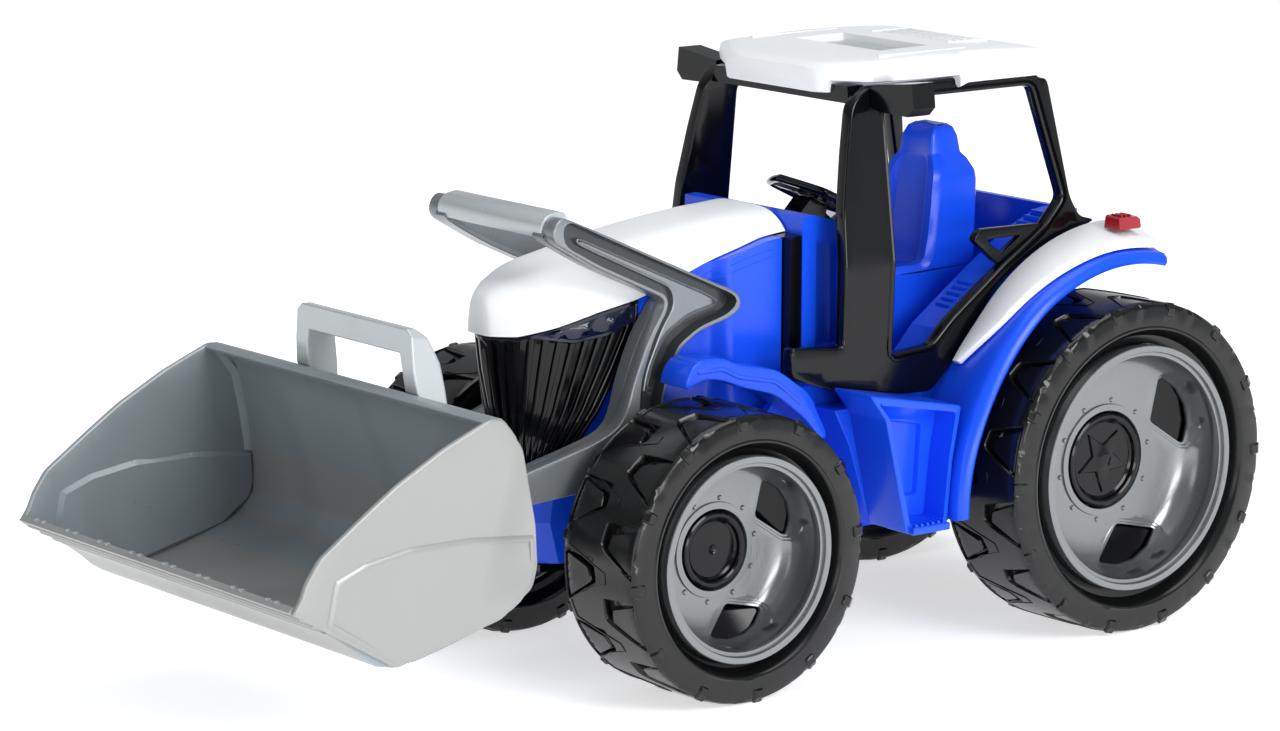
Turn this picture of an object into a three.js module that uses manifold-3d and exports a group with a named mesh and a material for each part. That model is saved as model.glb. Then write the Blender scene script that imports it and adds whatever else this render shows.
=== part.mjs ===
// Toy farm tractor with a front loader. Millimetres, +Z up, the bucket faces -Y, the tractor's left is +X.
// Stations along the tractor are measured from the rear axle; the finished group is moved so that the origin
// is on the ground under the middle of the whole object.
import * as THREE from 'three';
import { mergeVertices } from 'three/addons/utils/BufferGeometryUtils.js';
import Module from 'manifold-3d';

const wasm = await Module();
wasm.setup();

// ---- driving dimensions ----
const GAP = 0.35;                       // clearance between pieces that touch
const ORIGIN_SHIFT = 222.6;            // rear axle's distance behind the origin
const REAR = { y: 0, radius: 89.1, inner: 73.7, outer: 133.7, bead: 66.2, hub: 26.2, capFace: 105.1 };
const FRONT = { y: -259.4, radius: 74.2, inner: 63.6, outer: 124.6, bead: 53.2, hub: 20.6, capFace: 94.7 };
const TYRE_SIDES = 36;
const AXLE_RADIUS = 3.8;
const AXLE_BORE = 4.3;

const CHASSIS_BOTTOM = 62;
const CHASSIS_TOP = 142;
const CHASSIS_HALF = 58;
const GRILLE_BASE = 107;
const FIREWALL_Y = -166;

const ARM = { inner: 44.5, outer: 53.5, flange: 37 };
const LIFT_PIVOT = { y: -275, z: 116 };
const TILT_PIVOT = { y: -380, z: 98 };
const PIN_RADIUS = 3.6;
const PIN_BORE = 4.0;
const PIN_HEAD = 7;

const BUCKET_HALF = 124.5;
const BUCKET_WALL = 3;

const FRAME_INNER = 66.4;               // cab side frame, inner and outer face below the waist
const FRAME_OUTER = 74;
const WAIST = 205;                      // the frame leans inwards above this height
const LEAN = 0.125;

const FENDER_AXLE = { y: 0, z: REAR.radius };

// ---- colours ----
function finish(color, roughness, metalness = 0) {
  return new THREE.MeshStandardMaterial({ color, roughness, metalness });
}

const BLUE = finish(0x1447e6, 0.35);
const WHITE = finish(0xf4f5f7, 0.35);
const BLACK = finish(0x0b0c0f, 0.25);
const SILVER = finish(0x9aa0a5, 0.38, 0.15);
const STEEL = finish(0xb8bcc2, 0.3, 1);
const RED = finish(0xb01218, 0.3);
const GREY = finish(0x8a8f92, 0.4);
const LENS = finish(0x101c46, 0.12);

// ---- solid helpers ----
function weld(geometry) {
  const bare = geometry.clone();
  bare.deleteAttribute('normal');
  bare.deleteAttribute('uv');
  const merged = mergeVertices(bare, 1e-4);
  const kept = [];
  const index = merged.index.array;
  for (let i = 0; i < index.length; i += 3) {
    const [a, b, c] = [index[i], index[i + 1], index[i + 2]];
    if (a !== b && b !== c && c !== a) kept.push(a, b, c);
  }
  merged.setIndex(kept);
  return orient(merged);
}

function orient(geometry) {
  const at = geometry.attributes.position;
  const index = Array.from(geometry.index.array);
  const [a, b, c] = [new THREE.Vector3(), new THREE.Vector3(), new THREE.Vector3()];
  let volume = 0;
  for (let i = 0; i < index.length; i += 3) {
    a.fromBufferAttribute(at, index[i]);
    b.fromBufferAttribute(at, index[i + 1]);
    c.fromBufferAttribute(at, index[i + 2]);
    volume += a.dot(b.cross(c));
  }
  if (volume < 0) {
    for (let i = 0; i < index.length; i += 3) [index[i], index[i + 1]] = [index[i + 1], index[i]];
    geometry.setIndex(index);
  }
  return geometry;
}

function solid(geometry) {
  const welded = weld(geometry);
  const vertProperties = Float32Array.from(welded.attributes.position.array);
  const triVerts = Uint32Array.from(welded.index.array);
  return new wasm.Manifold(new wasm.Mesh({ numProp: 3, vertProperties, triVerts }));
}

function surface(body) {
  const mesh = body.getMesh();
  const geometry = new THREE.BufferGeometry();
  geometry.setAttribute('position', new THREE.BufferAttribute(Float32Array.from(mesh.vertProperties), 3));
  geometry.setIndex(Array.from(mesh.triVerts));
  return geometry;
}

const join = (...parts) => surface(parts.map(solid).reduce((sum, part) => sum.add(part)));
const cut = (base, ...tools) => (
  surface(tools.map(solid).reduce((rest, tool) => rest.subtract(tool), solid(base)))
);
const common = (base, tool) => surface(solid(base).intersect(solid(tool)));

function mirrored(geometry) {
  return orient(weld(geometry.clone().applyMatrix4(new THREE.Matrix4().makeScale(-1, 1, 1))));
}

function shapeOf(outline, holes = []) {
  const wound = (loop, clockwise) => {
    const points = loop.map(([a, b]) => new THREE.Vector2(a, b));
    return THREE.ShapeUtils.isClockWise(points) === clockwise ? points : points.reverse();
  };
  const shape = new THREE.Shape(wound(outline, false));
  shape.holes = holes.map((hole) => new THREE.Path(wound(hole, true)));
  return shape;
}

function extrude(outline, depth, holes) {
  return new THREE.ExtrudeGeometry(shapeOf(outline, holes), { depth, bevelEnabled: false, steps: 1 });
}

// Outline in (y, z), extruded across the tractor.
function sideSlab(outline, x0, x1, holes) {
  const turn = new THREE.Matrix4().set(0, 0, 1, x0, 1, 0, 0, 0, 0, 1, 0, 0, 0, 0, 0, 1);
  return weld(extrude(outline, x1 - x0, holes).applyMatrix4(turn));
}

// Outline in (x, z), extruded along the tractor.
function frontSlab(outline, y0, y1, holes) {
  const turn = new THREE.Matrix4().set(1, 0, 0, 0, 0, 0, -1, y1, 0, 1, 0, 0, 0, 0, 0, 1);
  return weld(extrude(outline, y1 - y0, holes).applyMatrix4(turn));
}

// Outline in (x, y), extruded upwards.
function planSlab(outline, z0, z1, holes) {
  return weld(extrude(outline, z1 - z0, holes).translate(0, 0, z0));
}

function block(x0, x1, y0, y1, z0, z1) {
  const box = new THREE.BoxGeometry(x1 - x0, y1 - y0, z1 - z0);
  return weld(box.translate((x0 + x1) / 2, (y0 + y1) / 2, (z0 + z1) / 2));
}

// A rod lying across the tractor.
function crossRod(radius, x0, x1, y, z, sides = 16) {
  const rod = new THREE.CylinderGeometry(radius, radius, x1 - x0, sides);
  return weld(rod.rotateZ(Math.PI / 2).translate((x0 + x1) / 2, y, z));
}

// A profile of [radius, x] turned about the X axis, with a flat facet at the bottom.
function turned(profile, sides) {
  const points = profile.map(([radius, x]) => new THREE.Vector2(radius, x));
  return new THREE.LatheGeometry(points, sides, Math.PI / sides).rotateZ(-Math.PI / 2);
}

// A profile of [radius, z] turned about a vertical axis.
function upright(profile, sides) {
  const points = profile.map(([radius, z]) => new THREE.Vector2(radius, z));
  return new THREE.LatheGeometry(points, sides).rotateX(Math.PI / 2);
}

function loft(rings) {
  const count = rings[0].length;
  const points = rings.flat();
  const index = [];
  for (let k = 0; k + 1 < rings.length; k += 1) {
    for (let i = 0; i < count; i += 1) {
      const a = k * count + i;
      const b = k * count + ((i + 1) % count);
      index.push(a, b, b + count, a, b + count, a + count);
    }
  }
  for (const [start, flip] of [[0, true], [(rings.length - 1) * count, false]]) {
    const contour = flatContour(points.slice(start, start + count));
    for (const [a, b, c] of THREE.ShapeUtils.triangulateShape(contour.outline, [])) {
      const face = [start + a, start + b, start + c];
      index.push(...(flip === contour.clockwise ? face : face.reverse()));
    }
  }
  const geometry = new THREE.BufferGeometry();
  geometry.setAttribute('position', new THREE.Float32BufferAttribute(points.flat(), 3));
  geometry.setIndex(index);
  return weld(geometry);
}

// A ring that lies in a plane, laid flat along its two widest directions.
function flatContour(ring) {
  const span = [0, 1, 2].map((k) => Math.max(...ring.map((p) => p[k])) - Math.min(...ring.map((p) => p[k])));
  const thin = span.indexOf(Math.min(...span));
  const [u, v] = [(thin + 1) % 3, (thin + 2) % 3];
  const outline = ring.map((p) => new THREE.Vector2(p[u], p[v]));
  return { outline, clockwise: THREE.ShapeUtils.isClockWise(outline) };
}

function circle(y, z, radius, sides = 16) {
  return Array.from({ length: sides }, (_, i) => {
    const turn = (2 * Math.PI * (i + 0.5)) / sides;
    return [y + radius * Math.cos(turn), z + radius * Math.sin(turn)];
  });
}

// An outline moved inwards by a distance, corner by corner.
function inset(outline, distance) {
  const shape = outline.map(([a, b]) => new THREE.Vector2(a, b));
  const turn = THREE.ShapeUtils.isClockWise(shape) ? 1 : -1;
  return shape.map((point, i) => {
    const before = shape[(i + shape.length - 1) % shape.length];
    const after = shape[(i + 1) % shape.length];
    const d1 = point.clone().sub(before).normalize();
    const d2 = after.clone().sub(point).normalize();
    const n1 = new THREE.Vector2(d1.y, -d1.x);
    const n2 = new THREE.Vector2(d2.y, -d2.x);
    const middle = n1.clone().add(n2).normalize();
    const reach = distance / Math.max(0.5, middle.dot(n1));
    return [point.x + turn * middle.x * reach, point.y + turn * middle.y * reach];
  });
}

// ---- assembly ----
const tractor = new THREE.Group();
tractor.position.y = ORIGIN_SHIFT;

function add(name, geometry, material, place = [0, 0, 0]) {
  const mesh = new THREE.Mesh(weld(geometry), material.clone());
  mesh.name = name;
  mesh.position.set(...place);
  tractor.add(mesh);
}

function addPair(name, geometry, material, place) {
  add(`${name}_left`, geometry, material, place);
  add(`${name}_right`, mirrored(geometry), material, place);
}

// ---- wheels ----
function tyre(wheel) {
  const { radius, inner, outer, bead } = wheel;
  const tread = radius / Math.cos(Math.PI / TYRE_SIDES);
  const profile = [
    [bead, inner + 8], [bead + 3, inner + 1], [radius - 9, inner], [radius - 2.5, inner + 6],
    [tread, inner + 18], [tread, outer - 18], [radius - 2.5, outer - 6], [radius - 9, outer],
    [bead + 5, outer - 1.5], [bead, outer - 4], [bead, inner + 8],
  ];
  const geometry = turned(profile, TYRE_SIDES);
  const at = geometry.attributes.position;
  const [innerShoulder, outerShoulder] = [3, 6];
  const pocket = (radius - 7) / (radius - 2.5);
  for (let side = 0; side <= TYRE_SIDES; side += 1) {
    const shoulder = side % 2 === 0 ? outerShoulder : innerShoulder;
    const k = side * profile.length + shoulder;
    at.setXYZ(k, at.getX(k), at.getY(k) * pocket, at.getZ(k) * pocket);
  }
  return geometry;
}

function rim(wheel) {
  const { bead, outer, inner, hub, capFace } = wheel;
  const edge = bead - 0.9;
  const dish = capFace - 4;
  const profile = [
    [AXLE_BORE, inner + 4], [AXLE_BORE, capFace - 7], [hub, capFace - 7], [hub, capFace - 1],
    [hub + 3.3, capFace - 1], [edge * 0.7, dish + 5], [edge - 5.5, dish + 18], [edge - 3, outer - 0.8],
    [edge, outer - 0.8], [edge, inner + 12], [edge - 3.4, inner + 12], [edge - 3.4, dish + 13],
    [edge * 0.7, dish + 1], [hub * 0.45, capFace - 10], [hub * 0.45, inner + 4], [AXLE_BORE, inner + 4],
  ];
  const windows = [];
  for (let k = 0; k < 3; k += 1) {
    const middle = (-19 + 60 + 120 * k) * Math.PI / 180;
    const corners = [[0.62, -0.1], [0.86, -0.3], [0.88, 0.27], [0.7, 0.2]];
    const outline = corners.map(([reach, swing]) => {
      const turn = middle - swing;
      return [edge * reach * Math.cos(turn), edge * reach * Math.sin(turn)];
    });
    windows.push(sideSlab(outline, inner + 20, outer + 1));
  }
  return cut(turned(profile, 20), ...windows);
}

function hubCap(wheel) {
  const { hub, capFace } = wheel;
  const edge = hub - 0.5;
  return turned([
    [0, capFace - 6.4], [edge, capFace - 6.4], [edge, capFace - 1.2], [edge - 1.6, capFace],
    [edge - 5, capFace], [edge - 6.5, capFace - 2.2], [0, capFace - 1.8],
  ], 20);
}

function addWheel(name, wheel, flip) {
  const side = (geometry) => (flip ? mirrored(geometry) : geometry);
  const centre = [0, wheel.y, wheel.radius];
  add(`${name}_tyre`, side(tyre(wheel)), BLACK, centre);
  add(`${name}_rim`, side(rim(wheel)), SILVER, centre);
  add(`${name}_hub_cap`, side(hubCap(wheel)), BLACK, centre);
}

function addAxle(name, wheel) {
  const reach = wheel.capFace - 7.5;
  add(name, crossRod(AXLE_RADIUS, -reach, reach, wheel.y, wheel.radius, 12), STEEL);
}

// ---- hood, grille and engine ----
const HOOD_LINE = [
  [-345, 179.5], [-327, 179.5], [-308, 184], [-286, 190], [-262, 195], [-220, 209.5],
  [-184, 218], [-165, 220.5], [-150, 221.5],
];

function aboveHoodLine(drop) {
  const low = HOOD_LINE.map(([y, z]) => [y, z - drop]);
  return sideSlab([...low, [-150, 290], [-345, 290]], -90, 90);
}

const HOOD_STATIONS = [
  { y: -338, half: 6, crest: 190 }, { y: -336, half: 11, crest: 195.5 }, { y: -330, half: 17, crest: 202 },
  { y: -323, half: 22, crest: 205.5 }, { y: -308, half: 29.5, crest: 211 },
  { y: -280, half: 35.8, crest: 217.5 }, { y: -240, half: 41, crest: 225 },
  { y: -200, half: 43.6, crest: 229.5 }, { y: -177, half: 44, crest: 231 },
  { y: -166.5, half: 46.5, crest: 231.5 },
];

function archRing({ y, half, crest }, shrink, base) {
  const steps = 10;
  return Array.from({ length: steps + 1 }, (_, i) => {
    const turn = (Math.PI * i) / steps;
    const across = Math.sign(Math.cos(turn)) * Math.abs(Math.cos(turn)) ** 0.55;
    const up = Math.sin(turn) ** 0.75;
    return [(half - shrink) * across, y, base + (crest - shrink - base) * up];
  });
}

function hoodCover() {
  const base = 170;
  const outer = loft(HOOD_STATIONS.map((station) => archRing(station, 0, base)));
  const hollow = HOOD_STATIONS.slice(1).map((station, i, all) => {
    const y = i === 0 ? station.y + 1.5 : station.y - (i === all.length - 1 ? 4 : 0);
    return archRing({ ...station, y }, 3, base - 5);
  });
  return common(cut(outer, loft(hollow)), aboveHoodLine(0));
}

// Half plan of the grille at each height: front, then four points back along the side to the rear edge.
const GRILLE_LEVELS = [
  { z: 107, front: -311, w1: 9, w2: 14, w3: 19, w4: 21, rear: -304 },
  { z: 112, front: -317, w1: 10, w2: 17, w3: 24, w4: 28, rear: -293 },
  { z: 124, front: -324, w1: 11, w2: 19, w3: 27, w4: 31.5, rear: -284 },
  { z: 140, front: -329, w1: 12, w2: 20.5, w3: 28.5, w4: 33, rear: -275 },
  { z: 160, front: -333, w1: 12, w2: 21, w3: 29.5, w4: 34, rear: -269 },
  { z: 183, front: -336, w1: 12, w2: 21.5, w3: 30.5, w4: 35, rear: -264 },
  { z: 200, front: -336, w1: 12, w2: 21.5, w3: 30.5, w4: 35, rear: -262 },
];

function bothSides(half) {
  const left = half.map(([x, y]) => [x, y]);
  const right = half.slice(1).reverse().map(([x, y]) => [-x, y]);
  return [...left, ...right];
}

function grilleOutside({ front, w1, w2, w3, w4, rear }) {
  const run = rear - front;
  return [[0, front], [w1, front + 0.06 * run], [w2, front + 0.2 * run], [w3, front + 0.5 * run], [w4, rear]];
}

function grilleInside(level, extra = 0) {
  const { front, w1, w2, w3, w4, rear } = level;
  const wall = 4 + extra;
  const run = rear - front;
  return [
    [0, front + wall], [w1 - wall * 0.3, front + 0.06 * run + wall],
    [w2 - wall * 0.8, front + 0.2 * run + wall * 0.8], [w3 - wall, front + 0.5 * run + wall * 0.3],
    [w4 - wall, rear],
  ];
}

function grilleShell() {
  const rings = GRILLE_LEVELS.map((level) => {
    const out = grilleOutside(level);
    const back = grilleInside(level).reverse();
    const left = [...out, ...back.slice(0, -1)];
    const right = back.slice(-1).concat(grilleInside(level).slice(1).map(([x, y]) => [-x, y]));
    const close = out.slice(1).reverse().map(([x, y]) => [-x, y]);
    return [...left, ...right, ...close].map(([x, y]) => [x, y, level.z]);
  });
  return cut(loft(rings), aboveHoodLine(GAP));
}

const LAMP_OUTLINE = [[-322, 178.6], [-300, 184], [-270, 190.4], [-267, 181], [-284, 175.5], [-300, 176.5]];

function grille() {
  const lamps = sideSlab(LAMP_OUTLINE, 15, 50);
  return cut(grilleShell(), lamps, mirrored(lamps));
}

function headlamp() {
  return common(grilleShell(), sideSlab(inset(LAMP_OUTLINE, GAP), 15, 50));
}

function engineRing(z, half) {
  return bothSides([...half, [36, -262], [36, -218], [42, -210], [43.6, -182], [43.8, FIREWALL_Y - 9]])
    .map(([x, y]) => [x, y, z]);
}

function enginePart() {
  const nose = (front, w1, w2, w3) => [[0, front], [w1, front + 2], [w2, front + 12], [w3, front + 30]];
  const low = [[CHASSIS_BOTTOM, -321, 30, 33], [84, -327, 30.5, 34], [GRILLE_BASE - 0.5, -323, 30, 34]];
  const lower = low.map(([z, front, w2, w3]) => (
    engineRing(z, [...nose(front, w2 * 0.75, w2, w3), [35.2, -284]])
  ));
  const upper = GRILLE_LEVELS.map((level) => {
    const core = grilleInside(level, 2.3);
    return engineRing(level.z, [...core.slice(0, 4), [level.w4 - 5, level.rear + 0.8]]);
  });
  const bottomCore = upper[0].map(([x, y]) => [x, y, GRILLE_BASE - 0.45]);
  const lid = upper[upper.length - 1].map(([x, y]) => [x, y, 225]);
  return cut(loft([...lower, bottomCore, ...upper, lid]), aboveHoodLine(GAP));
}

// Blue lips that fill the corner between the grille's rear edge and the engine side.
function grilleLip() {
  const rings = GRILLE_LEVELS.slice(0, 6).map(({ z, w4, rear }) => [
    [w4 - 5, rear + 0.6, z], [w4, rear + 0.6, z], [36, rear + 7, z],
    [36, -250, z], [20, -250, z], [20, rear + 2, z],
  ]);
  return cut(loft(rings), aboveHoodLine(GAP));
}

const FLARE = [
  [-264, 155], [-257, 167], [-237, 166.5], [-228, 159], [-204, 154.5], [-180, 138.5], [-172, 120],
  [-176, 119], [-184, 135], [-205, 150.5], [-229, 155], [-238, 162], [-255, 162.5], [-260, 154],
];

function bodyShell() {
  const middle = sideSlab([
    [-200, 70], [-200, 126], [-192, 136], [-172, CHASSIS_TOP], [60, CHASSIS_TOP], [60, 74],
    [50, CHASSIS_BOTTOM], [-192, CHASSIS_BOTTOM],
  ], -CHASSIS_HALF, CHASSIS_HALF);
  const bridge = block(-44, 44, -215, -170, CHASSIS_BOTTOM, 132);
  const flare = sideSlab(FLARE, 55.5, 76);
  const lip = grilleLip();
  const whole = join(enginePart(), middle, bridge, flare, mirrored(flare), lip, mirrored(lip));
  const engineHollow = sideSlab([
    [-296, 55], [-296, 104], [-300, 120], [-300, 168], [-262, 182], [-184, 205], [-172, 205], [-172, 55],
  ], -22, 22);
  const cabHollow = block(-54, 54, -195, 56, 55, 138.5);
  const link = block(-30, 30, -240, -180, 55, 128);
  const pins = [crossRod(PIN_RADIUS + GAP, 31, 40, LIFT_PIVOT.y, LIFT_PIVOT.z)];
  const bores = [FRONT, REAR].map((wheel) => crossRod(AXLE_BORE, -90, 90, wheel.y, wheel.radius));
  return cut(whole, engineHollow, cabHollow, link, ...bores, ...pins, mirrored(pins[0]));
}

// The heads sit in counterbores so that the plate's face stays flat.
const SCREW_PLACES = [[15, -286], [-15, -286], [44, 36], [-44, 36]];
const SCREW = { head: 4.2, shank: 1.9, sunk: 0.3, seat: 2, tip: 10.5 };

function underbodyPlate() {
  const outline = bothSides([[0, -318], [26, -318], [31, -300], [33, -206], [54, -190], [54, 52]]);
  const [wide, narrow] = [SCREW.head + 0.6, SCREW.shank + 0.5];
  const profile = [[0, -1], [wide, -1], [wide, SCREW.seat], [narrow, SCREW.seat], [narrow, 6], [0, 6]];
  const wells = SCREW_PLACES.map(([x, y]) => upright(profile, 10).translate(x, y, CHASSIS_BOTTOM - 4));
  return cut(planSlab(outline, CHASSIS_BOTTOM - 4, CHASSIS_BOTTOM - GAP), ...wells);
}

function screw() {
  const { head, shank, sunk, seat, tip } = SCREW;
  const shoulder = seat - GAP;
  return upright([
    [0, sunk], [head * 0.8, sunk], [head, sunk + 0.7], [head, shoulder],
    [shank, shoulder], [shank, tip - 1.5], [0, tip],
  ], 10);
}

// ---- cab ----
function leaning(geometry) {
  const at = geometry.attributes.position;
  for (let i = 0; i < at.count; i += 1) {
    const rise = Math.max(0, at.getZ(i) - WAIST);
    at.setX(i, at.getX(i) - LEAN * rise * Math.sign(at.getX(i)));
  }
  return geometry;
}

const FRAME_OUTLINE = [
  [-193, 167], [-193, 151], [-160, 139.5], [-138, 134.8], [-97, 133], [-86, 142.5], [-72, 159], [-50, 185.8],
  [-32, 196.5], [-14, 204.7], [14, 211], [20, 213.5], [9, 216], [3, 227], [-8, 291], [-14, 291.5], [-18, 296],
  [-133, 296], [-141, 292], [-146, 286], [-151, 262], [-156, 232], [-157, WAIST], [-158, 163],
];
const FRAME_WINDOW = [
  [-124, 156], [-97, 158], [-84, 170], [-47, 196], [-18, 213], [-3, 227], [-20, 288], [-92, 288], [-123, 284],
  [-122, WAIST],
];
const BRACKET = [[-49, 195.5], [-66, 210], [-61, 215], [-20, 214.5], [-14, 213], [-19, 211]];
const BRACKET_HOLE = [[-46, 201], [-57, 209.5], [-32, 209.5]];

function cabSide() {
  const plate = sideSlab(FRAME_OUTLINE, FRAME_INNER, FRAME_OUTER, [FRAME_WINDOW]);
  const bracket = sideSlab(BRACKET, FRAME_INNER, FRAME_INNER + 5, [BRACKET_HOLE]);
  const whole = join(plate, bracket);
  const below = common(whole, block(50, 90, -210, 50, 120, WAIST));
  const above = common(whole, block(50, 90, -210, 50, WAIST, 310));
  return join(below, leaning(above));
}

function headerBar(y0, y1) {
  const half = (z) => FRAME_INNER - LEAN * (z - WAIST) - GAP - 0.2;
  const [low, high] = [287, 296];
  return frontSlab([[-half(low), low], [half(low), low], [half(high), high], [-half(high), high]], y0, y1);
}

const LAMP_POST = [[64.8, 285.5], [69, 284], [93, 283.5], [97.5, 288], [96, 301], [63.4, 297]];

function workLamp() {
  return frontSlab(LAMP_POST, -133, -118);
}

function cabCowl() {
  const half = 47;
  const outline = [
    [-half, CHASSIS_TOP + GAP], [half, CHASSIS_TOP + GAP], [half + 3, 168], [half + 3, 221],
    [half - 5, 228], [-half + 5, 228], [-half - 3, 221], [-half - 3, 168],
  ];
  return cut(frontSlab(outline, FIREWALL_Y - 8.3, FIREWALL_Y - 1), aboveHoodLine(GAP));
}

function cabTub() {
  const half = FRAME_INNER - 2;
  const floor = block(-half, half, -164.6, 14, CHASSIS_TOP + GAP, CHASSIS_TOP + 3.4);
  const rail = sideSlab([
    [-122, 144], [-98, 150], [-85, 164], [-48, 190], [-20, 208], [2, 217], [14, 219], [14, 144],
  ], 44, half);
  const back = block(-half, half, 10, 14, 144, 219);
  const knees = block(-half, half, -164.6, -160, 144, 150);
  return join(floor, rail, mirrored(rail), back, knees);
}

function dashboard() {
  const outline = [
    [FIREWALL_Y + 0.5, 150.4], [FIREWALL_Y + 0.5, 229], [-158, 229.5],
    [-134, 223], [-131, 190], [-133, 150.4],
  ];
  const box = sideSlab(outline, -49, 49);
  const niche = sideSlab([[-156, 160], [-156, 216], [-138, 213], [-138, 160]], 44, 50);
  const kneeRoom = sideSlab([[-150, 146], [-150, 200], [-120, 200], [-120, 146]], -36, 36);
  return cut(box, niche, mirrored(niche), kneeRoom);
}

function seat() {
  const side = sideSlab([
    [-83, CHASSIS_TOP + 3.8], [-85, 180], [-79, 188], [-56, 186], [-52, 200],
    [-47, 238], [-41, 248], [-27, 247], [-20, 236], [-23, CHASSIS_TOP + 3.8],
  ], -23, 23);
  const head = sideSlab([[-45, 240], [-43, 258], [-38, 263], [-28, 261], [-25, 240]], -13, 13);
  return join(side, head);
}

const COLUMN = { y: -117.6, z: 230.1, lean: 0.45 };

function steeringColumn() {
  return sideSlab([[-133.5, 221], [-131.9, 203], [-118, 203], [-113.3, 225.1], [-124.1, 230.4]], -7, 7);
}

function steeringWheel() {
  const ring = new THREE.TorusGeometry(24, 2, 5, 20);
  const hub = new THREE.CylinderGeometry(5, 5, 4, 10).rotateX(Math.PI / 2);
  const spokes = [90, 210, 330].map((turn) => {
    const bar = new THREE.BoxGeometry(22, 3.6, 2.2).translate(13, 0, 0);
    return bar.rotateZ((turn * Math.PI) / 180);
  });
  return join(ring, hub, ...spokes).rotateX(-COLUMN.lean);
}

const HATCH = { half: 33, front: -102, back: -69, floor: 304.5 };

function roof() {
  const stations = [
    [-147, 36, 304], [-143, 44, 306.5], [-135, 57, 308], [-128, 64, 309], [-90, 67, 310], [-50, 67, 310],
    [-14, 66.5, 308], [-7, 62, 305], [0, 55, 299],
  ];
  const ring = (y, half, crest, shrink, base) => {
    const side = half - shrink;
    const up = (share) => base + share * (crest - shrink - base);
    const edge = [
      [side, base], [side + 0.6, up(0.5)], [side - 2.5, up(0.88)],
      [side * 0.85, up(1)], [side * 0.35, up(0.98)],
    ];
    return bothSides([[0, base], ...edge]).map(([x, z]) => [x, y, z]);
  };
  const outer = loft(stations.map(([y, half, crest]) => ring(y, half, crest, 0, 291.5)));
  const inner = loft(stations.slice(1, -1).map(([y, half, crest]) => ring(y, half, crest - 4, 3, 288)));
  const sideNotch = sideSlab([[-160, 280], [-160, 297.8], [-73, 297.8], [-67, 293.5], [-67, 280]], 42, 90);
  const rearTrim = block(-90, 90, -70, 20, 280, 293.5);
  const hatch = block(-HATCH.half, HATCH.half, HATCH.front, HATCH.back, HATCH.floor, 330);
  return cut(outer, inner, sideNotch, mirrored(sideNotch), rearTrim, hatch);
}

function roofHatch() {
  const { half, front, back, floor } = HATCH;
  return block(-half + GAP, half - GAP, front + GAP, back - GAP, floor + GAP, floor + 1.6);
}

// ---- rear fenders and steps ----
// Radius about the rear axle at the inner strip and at the outer shoulder, by angle from straight back.
const FENDER_STATIONS = [
  { turn: 72, inner: 125, outer: 117, edge: 106 }, { turn: 80, inner: 123.5, outer: 116, edge: 108.5 },
  { turn: 90, inner: 119, outer: 114.5, edge: 108.5 }, { turn: 105, inner: 112, outer: 112, edge: 107.5 },
  { turn: 120, inner: 105.5, outer: 110, edge: 104 }, { turn: 132, inner: 101.5, outer: 108, edge: 97 },
  { turn: 145, inner: 101, outer: 107, edge: 82 }, { turn: 158, inner: 101.5, outer: 107.5, edge: 77 },
  { turn: 172, inner: 102, outer: 110, edge: 77 }, { turn: 189, inner: 103, outer: 114, edge: 77 },
];

function fenderPoint(turn, x, radius) {
  const angle = (turn * Math.PI) / 180;
  return [x, FENDER_AXLE.y + radius * Math.cos(angle), FENDER_AXLE.z + radius * Math.sin(angle)];
}

function rearFender() {
  return loft(FENDER_STATIONS.map(({ turn, inner, outer }) => [
    [66.8, inner - 1.2], [76, inner - 1.3], [109, outer - 1.8], [114, outer - 8], [111.5, outer - 9],
    [107.5, outer - 5], [76, inner - 4.6], [66.8, inner - 4.4],
  ].map(([x, radius]) => fenderPoint(turn, x, radius))));
}

function fenderCover() {
  const rows = FENDER_STATIONS.filter(({ turn }) => turn <= 145);
  return loft(rows.map(({ turn, inner, outer, edge }) => {
    const top = (x) => inner - 1.3 + ((outer - inner - 0.5) * (x - 76)) / 33;
    return [[77, 2.4], [77, 4.4], [edge, 4.4], [edge + 0.5, 2.4]]
      .map(([x, lift]) => fenderPoint(turn, x, top(x) + lift));
  }));
}

function tailLamp() {
  return loft([[11, 0.5], [24, 0], [27, 1]].map(([y, drop], i) => [
    [89, y, 211.8], [101, y, 211.8], [100, y, 216.5 - drop * (i + 1)], [90, y, 217 - drop * (i + 1)],
  ]));
}

function boardingStep() {
  const rootOutline = [[-166, 131.5], [-119, 131.5], [-119, 68], [-141, 68], [-156, 112]];
  const boxOutline = [[-167, 144], [-104, 131.5], [-109.5, 104], [-113.2, 67], [-141, 69], [-156, 130]];
  const wellOutline = [[-156, 135], [-112, 126], [-116, 104], [-119, 76], [-137, 77], [-150, 130]];
  const root = sideSlab(rootOutline, CHASSIS_HALF + GAP, 80);
  const box = cut(sideSlab(boxOutline, 76, 106), sideSlab(wellOutline, 82, 110));
  const treadBoard = block(80, 109.5, -139, -114, 67.5, 71);
  return join(root, box, treadBoard);
}

// ---- rear hitch ----
function towHitch() {
  const plate = block(-22, 22, 60.4, 64, 66, 118);
  const jaw = block(-12, 12, 63, 84, 74, 100);
  const throat = block(-20, 20, 70, 90, 80, 94);
  const eye = new THREE.CylinderGeometry(3.4, 3.4, 60, 16).rotateX(Math.PI / 2).translate(0, 77, 87);
  return cut(join(plate, jaw), throat, eye);
}

function hitchPin() {
  const profile = [[0, 72], [3, 72], [3, 100.4], [6, 100.4], [6, 104], [3.5, 107], [0, 107.5]];
  return upright(profile, 12).translate(0, 77, 0);
}

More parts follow.
